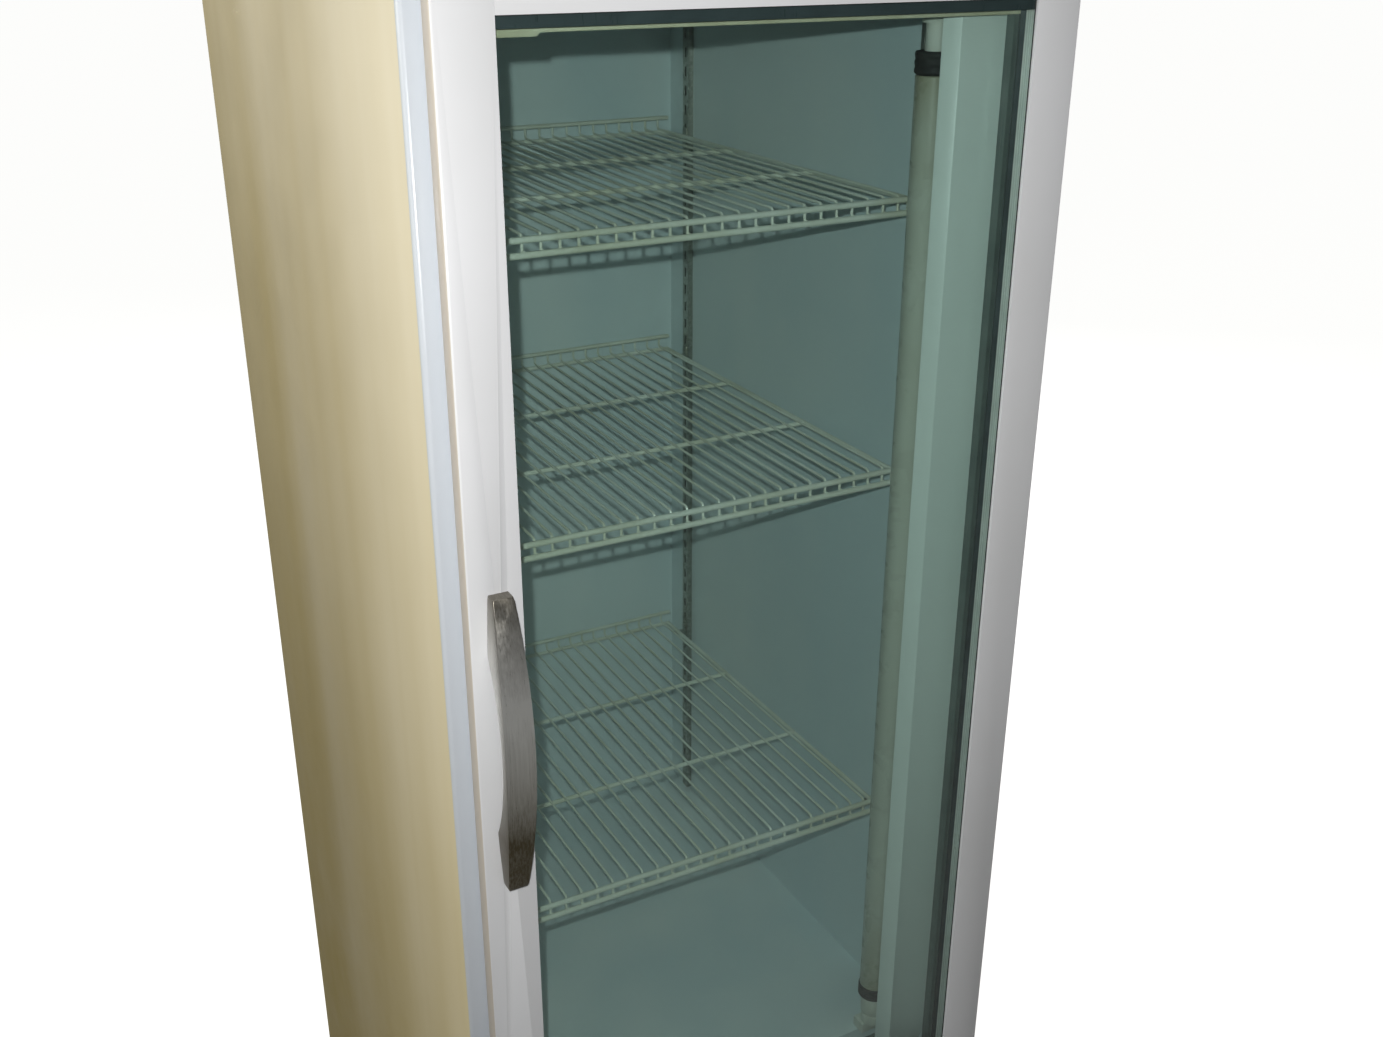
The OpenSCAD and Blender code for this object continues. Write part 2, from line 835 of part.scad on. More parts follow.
module thermostat_knob() {
    p = knob_pos;
    color("white") difference() {
        union() {
            rod_z([p[0], p[1], p[2] - 14], 13, 13);
            rod_z([p[0], p[1], p[2] - 3], 17, 2);
            block([p[0] - 1.5, p[1] - 12, p[2] - 16], [p[0] + 1.5, p[1] + 12, p[2] - 12]);
        }
        rod_z([p[0], p[1], p[2] - 11], knob_shaft_r + running, 12);
    }
}

module light_switch() {
    p = rocker_pos;
    color("black") difference() {
        union() {
            block(p - [10.5, 6.5, 0], p + [10.5, 6.5, 22]);
            block(p - [13, 9, 1.5], p + [13, 9, 0]);
        }
        block(p - [9, 5, 2], p + [9, 5, 14]);
        rod_y([p[0], p[1] - 7, p[2] + 4], 1 + running, 14);
    }
}

// Rocker on cross pins, resting with one side pressed in.
module light_rocker() {
    p = rocker_pos;
    tilt = 10;
    color("firebrick") translate(p + [0, 0, 4]) rotate([0, tilt, 0]) {
        along_y(-4.6, 9.2) polygon([
            [-7.6, 1], [-7.6, -4.4], [-3, -5.4], [3, -5.4], [7.6, -4.4], [7.6, 1], [0, 4]
        ]);
        rod_y([0, -6, 0], 1, 12);
    }
}

// ---------- legs ----------

// Levelling leg: a round foot and a hexagon on a threaded stud.
module levelling_leg(x, depth) {
    color("silver") translate([x, at(depth), 0]) {
        cylinder(r = 22, h = 6);
        cylinder(r = 9, h = 12);
        translate([0, 0, 11]) cylinder(r = 10.5, h = 8, $fn = 6);
        cylinder(r = stud_r, h = base_z + 32);
    }
}

module leg_front_left() {
    levelling_leg(-leg_x, leg_front_depth);
}

module leg_front_right() {
    levelling_leg(leg_x, leg_front_depth);
}

module leg_rear_left() {
    levelling_leg(-leg_x, leg_rear_depth);
}

module leg_rear_right() {
    levelling_leg(leg_x, leg_rear_depth);
}

// ---------- hinges and screws ----------

screw_r = 2;
bracket_x0 = 280;
bracket_x1 = 341;
bracket_t = 4;
leaf_h = 21;
bracket_screws = [bracket_x0 + 10, bracket_x1 - 12];
bracket_gap = 2;
hinge_screw_drop = 14;
grille_screws = [[-334, 42], [334, 42], [-334, 282], [334, 282]];
cover_screws = [[-330, 66], [330, 66], [-330, 318], [330, 318]];

module hinge_screw_places() {
    for (x = bracket_screws, z = [door_top + bracket_gap + hinge_screw_drop,
                                  door_z - bracket_gap - hinge_screw_drop])
        translate([x, at(flange_depth), z]) children();
}

// Angle bracket that carries a hinge pin; s is +1 above the door and -1 below it.
module hinge_bracket(z, s) {
    leaf_z = z + s * bracket_t;
    color("silver") {
        difference() {
            union() {
                block([bracket_x0, at(5), min(z, leaf_z)],
                      [bracket_x1, at(flange_depth), max(z, leaf_z)]);
                block([bracket_x0, at(flange_depth) - 3, min(z, z + s * (bracket_t + leaf_h))],
                      [bracket_x1, at(flange_depth), max(z, z + s * (bracket_t + leaf_h))]);
            }
            for (x = bracket_screws)
                rod_y([x, at(flange_depth) - 4, z + s * hinge_screw_drop], screw_r, 5);
        }
        translate([pivot_x, pivot_y, s > 0 ? z - 12 : z]) cylinder(r = pin_r, h = 12);
    }
}

module hinge_bracket_top() {
    hinge_bracket(door_top + bracket_gap, 1);
}

module hinge_bracket_bottom() {
    hinge_bracket(door_z - bracket_gap, -1);
}

// A pan head screw along +Y, with its head's back face at the origin.
module screw(length) {
    rotate([90, 0, 0]) cylinder(r1 = 4.5, r2 = 3, h = 2.2);
    rotate([-90, 0, 0]) cylinder(r = screw_r, h = length);
}

module cabinet_screws() {
    color("silver") {
        hinge_screw_places() translate([0, -3, 0]) screw(3 + flange_t);
        for (p = grille_screws) translate([p[0], at(flange_depth) - 1, p[1]]) screw(skin);
        for (p = cover_screws)
            translate([p[0], at(cover_depth) + skin, p[1]]) mirror([0, 1, 0]) screw(skin);
    }
}

// Flanged plastic bushes in the door's corners, bored for the hinge pins.
module hinge_bushes() {
    color("black") difference() {
        for (z = [door_z - 1, door_top - 16])
            translate([pivot_x, pivot_y, z]) union() {
                cylinder(r = bush_r, h = 17);
                translate([0, 0, z < door_top / 2 ? 0 : 16]) cylinder(r = bush_r + 2, h = 1);
            }
        translate([pivot_x, pivot_y, door_z - 2]) cylinder(r = pin_r + running, h = 17);
        translate([pivot_x, pivot_y, door_top - 14]) cylinder(r = pin_r + running, h = 17);
    }
}

// Torsion spring cartridge inside the door's hinge stile, just above the lower bush.
module door_closer() {
    color("silver") {
        rod_z([pivot_x, pivot_y, door_z + stile_plug], 3, 150);
        rod_z([pivot_x, pivot_y, door_z + 30], 5.2, 110);
    }
}

// ---------- door ----------

// Section of the door frame: u runs in from the door's edge and v runs back.
frame_section = concat(
    arc([edge_r, edge_r], edge_r, 180, 270, 4),
    [[frame_w, 0], [frame_w, 4], [frame_w - glass_bite, 4], [frame_w - glass_bite, frame_back],
     [frame_w, frame_back], [frame_w, lip_back], [lip_in, lip_back], [lip_in, frame_back],
     [5, frame_back], [5, skin_depth], [0, skin_depth]]
);

frame_t = 1.5;

// The hollow inside the frame's section.
module frame_void() {
    t = frame_t;
    translate([t, t]) square([frame_w - glass_bite - 2 * t, skin_depth - 2 * t]);
    translate([5 + t, t]) square([frame_w - glass_bite - 5 - 2 * t, frame_back - 2 * t]);
}

// Upright on the left side, with its lip cut back for the gasket at both ends.
module door_stile() {
    translate([-door_w / 2, at(0), door_z]) difference() {
        linear_extrude(door_h) polygon(frame_section);
        translate([0, 0, stile_plug]) linear_extrude(door_h - 2 * stile_plug) frame_void();
        for (z = [-1, door_h - lip_in])
            block([lip_in - 1, frame_back, z], [frame_w + 1, lip_back + 1, z + lip_in + 1]);
    }
}

// Rail on the top edge; extra widens the bottom one.
module door_rail(extra) {
    length = door_w - 2 * frame_w - 2 * seam;
    along_x(-length / 2, length) rotate(-90) difference() {
        polygon([for (p = frame_section) [p[0] + (p[0] >= lip_in ? extra : 0), p[1]]]);
        frame_void();
    }
}

module door_frame() {
    color("white") {
        difference() {
            union() {
                door_stile();
                mirror([1, 0, 0]) door_stile();
            }
            for (z = [door_z - 1, door_top - 16])
                translate([pivot_x, pivot_y, z]) cylinder(r = bush_r, h = 17);
            for (z = handle_screw_z)
                rod_y([handle_x, at(0) - 1, z], screw_r, 20);
        }
        translate([0, at(0), door_top]) door_rail(1);
        translate([0, at(0), door_z]) mirror([0, 0, 1]) door_rail(2);
    }
}

pane_x = door_w / 2 - frame_w + glass_bite;
pane_z0 = glass_z0 - glass_bite;
pane_z1 = glass_z1 + glass_bite;

module glass_panes() {
    color("lightcyan") for (depth = [4, 4 + pane_t + pane_gap])
        block([-pane_x, at(depth), pane_z0], [pane_x, at(depth + pane_t), pane_z1]);
}

module glass_spacer() {
    side = 14;
    end = 28;
    color("dimgray") difference() {
        block([-pane_x, at(4 + pane_t), pane_z0], [pane_x, at(4 + pane_t + pane_gap), pane_z1]);
        block([side - pane_x, at(0), pane_z0 + end], [pane_x - side, at(30), pane_z1 - end]);
    }
}

// One side of the door's outline, set in by d.
module door_ring(d, w, from, to) {
    x1 = door_w / 2 - d;
    difference() {
        block([-x1, at(from), door_z + d], [x1, at(to), door_top - d]);
        block([w - x1, at(from) - 1, door_z + d + w], [x1 - w, at(to) + 1, door_top - d - w]);
    }
}

module door_gasket() {
    base_t = 2;
    color("slategray") {
        door_ring(gasket_in, gasket_w, frame_back, frame_back + base_t);
        door_ring(gasket_in + 3, gasket_w - 6, frame_back + base_t, gasket_back);
    }
}

handle_x = 30 - door_w / 2;
handle_screw_z = [handle_z - handle_len / 2 + 30, handle_z + handle_len / 2 - 30];

// Radius of the arc with this half chord and rise.
function arc_radius(half, rise) = (half * half + rise * rise) / (2 * rise);

// Arched bar handle: a crescent in side view that is widest at its middle in front view.
module door_handle() {
    half = handle_len / 2;
    foot = 62;
    foot_out = 14;
    bar_t = 9;
    end_w = 21;
    mid_w = 31;
    rise = handle_out - foot_out;
    outer = arc_radius(half, rise);
    inner_half = half - foot;
    inner_rise = handle_out - bar_t;
    inner = arc_radius(inner_half, inner_rise);
    flare = arc_radius(half, (mid_w - end_w) / 2);
    a = asin(half / outer);
    b = asin(inner_half / inner);
    c = asin(half / flare);
    color("silver") difference() {
        intersection() {
            along_x(handle_x - mid_w, 2 * mid_w) polygon(concat(
                [for (p = arc([0, 0], outer, 180 - a, 180 + a, 24))
                    [at(-handle_out) + outer + p[0], handle_z + p[1]]],
                [[at(0), handle_z - half], [at(0), handle_z - inner_half]],
                [for (p = arc([0, 0], inner, 180 + b, 180 - b, 20))
                    [at(-inner_rise) + inner + p[0], handle_z + p[1]]],
                [[at(0), handle_z + inner_half], [at(0), handle_z + half]]
            ));
            along_y(at(-handle_out) - 1, handle_out + 2) polygon(concat(
                [for (p = arc([0, 0], flare, c, -c, 20))
                    [handle_x + mid_w / 2 - flare + p[0], handle_z + p[1]]],
                [for (p = arc([0, 0], flare, 180 + c, 180 - c, 20))
                    [handle_x - mid_w / 2 + flare + p[0], handle_z + p[1]]]
            ));
        }
        for (z = handle_screw_z) rod_y([handle_x, at(-6), z], screw_r, 7);
    }
}

// Screws from inside the stile into the handle's feet.
module handle_screws() {
    color("silver") for (z = handle_screw_z)
        translate([handle_x, at(frame_t), z]) mirror([0, 1, 0]) screw(frame_t + 6);
}

// Cream strip across the top of the door's inner side, deeper at its left end.
module door_top_trim() {
    x1 = door_w / 2 - frame_w;
    step = 48;
    z1 = glass_z1;
    z0 = glass_z1 - 16;
    color("khaki") along_y(at(frame_back), lip_back - frame_back) polygon([
        [-x1, z1], [x1, z1], [x1, z0], [step - x1, z0], [step - x1 - 3, z0 - 3],
        [-x1, z0 - 3]
    ]);
}

side_panel_left();
side_panel_right();
back_panel();
top_panel();
foam_insulation();
liner_left();
liner_right();
liner_back();
liner_ceiling();
liner_floor();
face_frame();
breaker_strips();
base_chassis();
front_grille();
rear_cover();
header_housing();
header_sign_panel();
header_lamp();
lamp_holders();
lamp_shield();
lamp_tube();
lamp_end_caps();
lamp_ballast();
pilasters();
shelf_clips();
evaporator_housing();
evaporator_coil();
evaporator_fan_motor();
compressor();
condenser_coil();
condenser_fan_motor();
filter_drier();
refrigerant_lines();
condensate_pan();
thermostat();
light_switch();
power_inlet();
hinge_bracket_top();
hinge_bracket_bottom();
cabinet_screws();
shelf_upper();
shelf_middle();
shelf_lower();
evaporator_fan();
condenser_fan();
thermostat_knob();
light_rocker();
leg_front_left();
leg_front_right();
leg_rear_left();
leg_rear_right();
door_frame();
glass_panes();
glass_spacer();
door_gasket();
door_handle();
handle_screws();
door_top_trim();
hinge_bushes();
door_closer();
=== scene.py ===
"""Looks for the glass door merchandiser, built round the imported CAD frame.

Everything is in metres in the frame's own coordinates: +Z up, the front faces -Y.
"""

import math
import random

import bpy
from mathutils import Matrix, Vector


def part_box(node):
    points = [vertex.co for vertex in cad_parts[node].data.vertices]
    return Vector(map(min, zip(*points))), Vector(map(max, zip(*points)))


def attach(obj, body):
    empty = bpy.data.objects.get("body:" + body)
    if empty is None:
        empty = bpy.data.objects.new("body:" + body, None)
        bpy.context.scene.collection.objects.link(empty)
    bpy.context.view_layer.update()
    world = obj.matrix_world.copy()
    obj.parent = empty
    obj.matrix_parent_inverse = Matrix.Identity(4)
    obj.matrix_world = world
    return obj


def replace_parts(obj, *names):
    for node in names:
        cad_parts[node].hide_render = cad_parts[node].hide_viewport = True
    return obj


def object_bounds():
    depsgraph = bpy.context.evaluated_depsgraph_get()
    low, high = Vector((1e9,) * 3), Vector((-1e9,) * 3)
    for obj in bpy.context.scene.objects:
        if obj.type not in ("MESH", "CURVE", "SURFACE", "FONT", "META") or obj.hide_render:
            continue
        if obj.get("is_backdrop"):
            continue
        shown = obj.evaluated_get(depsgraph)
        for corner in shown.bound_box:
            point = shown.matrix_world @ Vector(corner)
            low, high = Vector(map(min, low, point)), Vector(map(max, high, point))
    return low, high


MM = 0.001

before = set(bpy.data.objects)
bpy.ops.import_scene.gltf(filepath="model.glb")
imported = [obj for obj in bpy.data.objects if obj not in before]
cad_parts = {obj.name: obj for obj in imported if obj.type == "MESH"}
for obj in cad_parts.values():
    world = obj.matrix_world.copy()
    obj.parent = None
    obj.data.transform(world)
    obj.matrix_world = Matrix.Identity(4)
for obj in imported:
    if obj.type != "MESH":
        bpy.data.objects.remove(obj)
cad_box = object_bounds()
scene = bpy.context.scene


# ---------- camera, stage and lights ----------

LENS = 37.38
CAMERA_LEFT = 0.3773
CAMERA_FRONT = 1.1189
CAMERA_HEIGHT = 1.76
HEADING, PITCH, ROLL = (math.radians(a) for a in (28.52, 23.04, 0.17))


def camera_axes():
    """The camera's right, up and forward directions."""
    level = Vector((math.sin(HEADING), math.cos(HEADING), 0))
    side = Vector((math.cos(HEADING), -math.sin(HEADING), 0))
    down = Vector((0, 0, -1))
    forward = level * math.cos(PITCH) + down * math.sin(PITCH)
    upright = level * math.sin(PITCH) - down * math.cos(PITCH)
    right = side * math.cos(ROLL) + upright * math.sin(ROLL)
    up = upright * math.cos(ROLL) - side * math.sin(ROLL)
    return right, up, forward


def camera_place():
    """The camera stands to the left of the door and in front of it."""
    door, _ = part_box("door_frame")
    return Vector((door.x - CAMERA_LEFT, door.y - CAMERA_FRONT, CAMERA_HEIGHT))


def make_camera():
    right, up, forward = camera_axes()
    data = bpy.data.cameras.new("camera")
    data.lens = LENS
    data.clip_start = 0.05
    camera = bpy.data.objects.new("camera", data)
    scene.collection.objects.link(camera)
    turn = Matrix((right, up, -forward)).transposed().to_4x4()
    camera.matrix_world = Matrix.Translation(camera_place()) @ turn
    scene.camera = camera


def area_light(name, place, target, size, power, colour, spread=180):
    data = bpy.data.lights.new(name, "AREA")
    data.shape = "DISK"
    data.size = size
    data.energy = power
    data.color = colour
    data.spread = math.radians(spread)
    light = bpy.data.objects.new(name, data)
    scene.collection.objects.link(light)
    light.location = place
    light.rotation_euler = (Vector(target) - Vector(place)).to_track_quat("-Z", "Y").to_euler()


def make_lights():
    """A small key just above the camera, and wide soft fills for the far sides."""
    right, up, _ = camera_axes()
    door_lo, door_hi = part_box("door_frame")
    key = camera_place() + up * 0.052 - right * 0.028
    aim = (door_lo.x + 0.3, door_lo.y, (door_lo.z + door_hi.z) / 2 + 0.25)
    area_light("key", key, aim, 0.014, 10.4, (1, 0.99, 0.97), spread=150)
    area_light("left_fill", (-2.3, 0.3, 3), (-0.35, 0.1, 1.7), 1.2, 21, (1, 0.97, 0.88), spread=120)
    area_light("back_fill", (2.2, 3.2, 2.6), (0, 0.3, 1), 2.2, 55, (1, 1, 1))
    area_light("right_fill", (3.6, 0.2, 1.9), (0.3, 0, 1), 1.8, 24, (1, 1, 1))


AMBIENT = (0.13, 0.133, 0.136)
BACKDROP = (1, 1, 0.985)
FLOOR_BOUNCE = (0.38, 0.38, 0.37)
FLOOR_GLOW = 0.93
FLOOR_HALF = 40


def seen_or_lit(tree, lit, seen):
    """One shader for what the camera sees directly and another for light that bounces."""
    path = tree.nodes.new("ShaderNodeLightPath")
    mix = tree.nodes.new("ShaderNodeMixShader")
    tree.links.new(path.outputs["Is Camera Ray"], mix.inputs["Fac"])
    tree.links.new(lit.outputs[0], mix.inputs[1])
    tree.links.new(seen.outputs[0], mix.inputs[2])
    return mix.outputs[0]


def make_world():
    world = bpy.data.worlds.new("studio")
    scene.world = world
    world.use_nodes = True
    tree = world.node_tree
    tree.nodes.clear()
    lit = tree.nodes.new("ShaderNodeBackground")
    lit.inputs["Color"].default_value = (*AMBIENT, 1)
    seen = tree.nodes.new("ShaderNodeBackground")
    seen.inputs["Color"].default_value = (*BACKDROP, 1)
    out = tree.nodes.new("ShaderNodeOutputWorld")
    tree.links.new(seen_or_lit(tree, lit, seen), out.inputs["Surface"])


def make_floor():
    """A pale floor, a little brighter to the eye than the light that it throws back."""
    half = FLOOR_HALF
    mesh = bpy.data.meshes.new("floor")
    corners = [(-half, -half, 0), (half, -half, 0), (half, half, 0), (-half, half, 0)]
    mesh.from_pydata(corners, [], [(0, 1, 2, 3)])
    floor = bpy.data.objects.new("floor", mesh)
    scene.collection.objects.link(floor)
    look = bpy.data.materials.new("pale_floor")
    look.use_nodes = True
    tree = look.node_tree
    tree.nodes.clear()
    lit = tree.nodes.new("ShaderNodeBsdfDiffuse")
    lit.inputs["Color"].default_value = (*FLOOR_BOUNCE, 1)
    glow = tree.nodes.new("ShaderNodeEmission")
    glow.inputs["Color"].default_value = (*BACKDROP, 1)
    glow.inputs["Strength"].default_value = FLOOR_GLOW
    both = tree.nodes.new("ShaderNodeAddShader")
    tree.links.new(lit.outputs[0], both.inputs[0])
    tree.links.new(glow.outputs[0], both.inputs[1])
    out = tree.nodes.new("ShaderNodeOutputMaterial")
    tree.links.new(seen_or_lit(tree, lit, both), out.inputs["Surface"])
    mesh.materials.append(look)
    floor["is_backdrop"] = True


# ---------- materials ----------


def srgb(r, g, b):
    """A display colour from 0 to 255 as linear red, green, blue and alpha."""

    def linear(c):
        c /= 255
        return c / 12.92 if c <= 0.04045 else ((c + 0.055) / 1.055) ** 2.4

    return linear(r), linear(g), linear(b), 1


class Look:
    """A Principled material whose textures are fixed to the piece in object space."""

    def __init__(self, name, **shader):
        self.material = bpy.data.materials.new(name)
        self.material.use_nodes = True
        self.tree = self.material.node_tree
        self.shader = self.tree.nodes["Principled BSDF"]
        for key, value in shader.items():
            self.shader.inputs[key.replace("_", " ")].default_value = value
        self.place = self.tree.nodes.new("ShaderNodeTexCoord").outputs["Object"]

    def node(self, kind, inputs=None, **settings):
        made = self.tree.nodes.new(kind)
        for key, value in settings.items():
            setattr(made, key, value)
        for key, value in (inputs or {}).items():
            self.put(made.inputs[key], value)
        return made

    def put(self, socket, value):
        if isinstance(value, bpy.types.NodeSocket):
            self.tree.links.new(value, socket)
        else:
            socket.default_value = value

    def spaced(self, stretch):
        inputs = {"Vector": self.place, "Scale": stretch}
        return self.node("ShaderNodeMapping", inputs).outputs["Vector"]

    def noise(self, per_metre, detail=3, stretch=(1, 1, 1), roughness=0.55):
        inputs = {
            "Vector": self.spaced(stretch),
            "Scale": per_metre,
            "Detail": detail,
            "Roughness": roughness,
        }
        return self.node("ShaderNodeTexNoise", inputs).outputs["Fac"]

    def cells(self, per_metre, feature="F1", stretch=(1, 1, 1), output="Distance"):
        inputs = {"Vector": self.spaced(stretch), "Scale": per_metre}
        return self.node("ShaderNodeTexVoronoi", inputs, feature=feature).outputs[output]

    def along(self, axis, start, end):
        """0 to 1 between two places along an axis."""
        split = self.node("ShaderNodeSeparateXYZ", {"Vector": self.place})
        return self.spread(split.outputs[axis], start, end, 0, 1)

    def spread(self, value, low, high, to_low, to_high):
        inputs = {
            "Value": value,
            "From Min": low,
            "From Max": high,
            "To Min": to_low,
            "To Max": to_high,
        }
        return self.node("ShaderNodeMapRange", inputs).outputs["Result"]

    def maths(self, operation, a, b):
        node = self.node("ShaderNodeMath", operation=operation)
        self.put(node.inputs[0], a)
        self.put(node.inputs[1], b)
        return node.outputs[0]

    def mix(self, factor, a, b):
        """Colour a where the factor is 0 and colour b where it is 1."""
        node = self.node("ShaderNodeMix", data_type="RGBA")
        for index, value in ((0, factor), (6, a), (7, b)):
            self.put(node.inputs[index], value)
        return node.outputs[2]

    def colour(self, value):
        self.put(self.shader.inputs["Base Color"], value)

    def rough(self, value, low, high):
        """Roughness from low to high as the value goes through its middle range."""
        self.put(self.shader.inputs["Roughness"], self.spread(value, 0.3, 0.7, low, high))

    def bumps(self, *layers):
        """Layers of (height, strength, depth in metres), each added to the one before."""
        normal = None
        for height, strength, depth in layers:
            inputs = {"Height": height, "Strength": strength, "Distance": depth}
            if normal is not None:
                inputs["Normal"] = normal
            normal = self.node("ShaderNodeBump", inputs).outputs["Normal"]
        self.put(self.shader.inputs["Normal"], normal)


def painted(name, light, dark, rough=(0.28, 0.42), peel=0.12, streak=0.35, **shader):
    """Sprayed sheet metal: soft mottling, faint vertical streaks and orange peel."""
    look = Look(name, Coat_Weight=0.25, Coat_Roughness=0.18, **shader)
    mottle = look.noise(3, detail=5)
    runs = look.noise(9, detail=4, stretch=(1, 1, 0.08))
    mixed = look.maths("ADD", look.maths("MULTIPLY", runs, streak), mottle)
    amount = look.spread(mixed, 0.45, 0.75 + streak, 0, 1)
    look.colour(look.mix(amount, light, dark))
    look.rough(look.noise(14, detail=4), *rough)
    look.bumps((look.noise(620, detail=2), peel, 0.0004), (mottle, 0.1, 0.002))
    return look


def cabinet_cream():
    """Cream paint, darker and yellower towards the back and the bottom of the sides as painted
    shade.
    """
    low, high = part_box("side_panel_left")
    look = Look("cabinet_cream_paint", Coat_Weight=0.1, Coat_Roughness=0.35)
    # Painted shade: the colour grows darker and yellower towards the back and the bottom, with
    # faint streaks and clouds mixed in.
    back = look.along("Y", low.y, high.y)
    down = look.along("Z", high.z, low.z)
    shade_and_mottle = look.maths("ADD", look.maths("MULTIPLY", back, 0.36), look.maths("MULTIPLY", down, 0.7))
    runs = look.noise(7, detail=3, stretch=(1, 1, 0.03))
    shade_and_mottle = look.maths("ADD", shade_and_mottle, look.maths("MULTIPLY", look.spread(runs, 0.3, 0.7, -1, 1), 0.1))
    cloud = look.noise(2.4, detail=5)
    shade_and_mottle = look.maths("ADD", shade_and_mottle, look.maths("MULTIPLY", look.spread(cloud, 0.3, 0.7, -1, 1), 0.06))
    amount = look.spread(shade_and_mottle, 0.05, 0.95, 0, 1)
    look.colour(look.mix(amount, srgb(236, 228, 204), srgb(186, 166, 92)))
    look.rough(look.noise(11, detail=4), 0.46, 0.6)
    waves = look.noise(2.1, detail=1, stretch=(1, 1.6, 0.15))
    look.bumps((look.noise(560, detail=2), 0.12, 0.0004), (waves, 0.35, 0.006))
    return look


def sheet_steel(name, light, dark, grain=70, rough=(0.3, 0.5)):
    """Zinc coated sheet with its crystal pattern."""
    look = Look(name, Metallic=1)
    crystal = look.cells(grain, output="Color")
    tone = look.node("ShaderNodeRGBToBW", {"Color": crystal}).outputs["Val"]
    dull = look.noise(8, detail=5)
    look.colour(look.mix(look.maths("MULTIPLY", tone, dull), light, dark))
    look.rough(tone, *rough)
    look.bumps((tone, 0.05, 0.0003), (dull, 0.15, 0.001))
    return look


def brushed_steel(name, light, dark, stretch=(1, 1, 0.02), rough=(0.24, 0.4), lines=420):
    """Metal with a fine drawn grain along one axis and a few handling marks."""
    look = Look(name, Metallic=1, Anisotropic=0.4)
    grain = look.noise(lines, detail=3, stretch=stretch, roughness=0.7)
    marks = look.noise(26, detail=5)
    tone = look.maths("ADD", look.maths("MULTIPLY", grain, 0.6), look.maths("MULTIPLY", marks, 0.4))
    look.colour(look.mix(look.spread(tone, 0.35, 0.65, 0, 1), light, dark))
    look.rough(tone, *rough)
    look.bumps((grain, 0.25, 0.0003))
    return look


def worn_metal(name, light, dark, rough=(0.3, 0.55), grain=180, metallic=1):
    """Cast or drawn metal, dulled unevenly."""
    look = Look(name, Metallic=metallic)
    dull = look.noise(22, detail=6)
    look.colour(look.mix(look.spread(dull, 0.32, 0.68, 0, 1), light, dark))
    look.rough(look.noise(60, detail=4), *rough)
    look.bumps((look.noise(grain * 4, detail=3), 0.15, 0.0003), (dull, 0.2, 0.0008))
    return look


def moulded(name, light, dark, rough=(0.35, 0.55), grain=1400, depth=0.1, **shader):
    """Moulded plastic with a fine spark-eroded grain."""
    look = Look(name, **shader)
    cloud = look.noise(18, detail=4)
    look.colour(look.mix(look.spread(cloud, 0.3, 0.7, 0, 1), light, dark))
    look.rough(look.noise(45, detail=3), *rough)
    look.bumps((look.cells(grain), depth, 0.0002), (cloud, 0.1, 0.0008))
    return look


def rubber(name, light, dark):
    """Rubber with a dusty bloom."""
    look = Look(name, Specular_IOR_Level=0.3)
    dust = look.noise(35, detail=6)
    look.colour(look.mix(look.spread(dust, 0.38, 0.72, 0, 1), dark, light))
    look.rough(dust, 0.55, 0.8)
    look.bumps((look.noise(900, detail=2), 0.15, 0.0003), (dust, 0.15, 0.0008))
    return look


def foam_look():
    """Poured foam: a yellow cellular mass."""
    look = Look("poured_foam", Roughness=0.85)
    cell = look.cells(420)
    look.colour(look.mix(cell, srgb(224, 200, 138), srgb(188, 158, 92)))
    look.bumps((cell, 0.5, 0.001), (look.noise(12, detail=5), 0.4, 0.006))
    return look


def liner_look():
    """Cool white coated liner with a faint wave in the sheet and wiped marks."""
    look = Look("liner_white", Coat_Weight=0.15, Coat_Roughness=0.3)
    wave = look.noise(5, detail=2, stretch=(1, 1, 0.07))
    wiped = look.noise(6, detail=6, roughness=0.65)
    sheet, marks = look.maths("MULTIPLY", wave, 0.65), look.maths("MULTIPLY", wiped, 0.35)
    tone = look.maths("ADD", sheet, marks)
    amount = look.spread(tone, 0.36, 0.64, 0, 1)
    look.colour(look.mix(amount, srgb(233, 239, 238), srgb(213, 226, 230)))
    look.rough(wiped, 0.3, 0.48)
    look.bumps((look.noise(700, detail=2), 0.08, 0.0003), (wave, 0.25, 0.003))
    return look


def wire_look():
    """Dipped plastic coating on the shelf wires, thicker in places and a little yellow."""
    look = Look("coated_wire", Coat_Weight=0.3, Coat_Roughness=0.15)
    drip = look.noise(120, detail=3)
    stain = look.noise(11, detail=5)
    amount = look.spread(stain, 0.35, 0.72, 0, 1)
    look.colour(look.mix(amount, srgb(240, 241, 231), srgb(219, 217, 195)))
    look.rough(drip, 0.26, 0.42)
    look.bumps((drip, 0.35, 0.0006))
    return look


def lamp_look():
    """Milky lamp sleeve, browned towards its ends."""
    low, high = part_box("lamp_tube")
    look = Look("lamp_sleeve", Coat_Weight=0.4, Coat_Roughness=0.1)
    fade = 0.12
    bottom = look.along("Z", low.z + fade, low.z)
    top = look.along("Z", high.z - fade, high.z)
    ends = look.maths("MAXIMUM", bottom, top)
    film = look.maths("MULTIPLY", look.noise(14, detail=5), look.spread(ends, 0, 1, 0.35, 1.3))
    amount = look.spread(film, 0.1, 0.8, 0, 1)
    look.colour(look.mix(amount, srgb(196, 198, 186), srgb(158, 153, 130)))
    look.rough(look.noise(40, detail=4), 0.22, 0.36)
    look.bumps((look.noise(90, detail=2, stretch=(1, 1, 0.1)), 0.1, 0.0006))
    return look


def sign_look():
    """Blank opal acrylic of the header."""
    look = Look("opal_acrylic", Coat_Weight=0.5, Coat_Roughness=0.06, Subsurface_Weight=0.15)
    look.shader.inputs["Subsurface Scale"].default_value = 0.004
    cloud = look.noise(4, detail=3)
    amount = look.spread(cloud, 0.3, 0.7, 0, 1)
    look.colour(look.mix(amount, srgb(244, 244, 239), srgb(232, 233, 228)))
    look.rough(look.noise(30, detail=4), 0.12, 0.2)
    look.bumps((look.noise(7, detail=1), 0.1, 0.002))
    return look


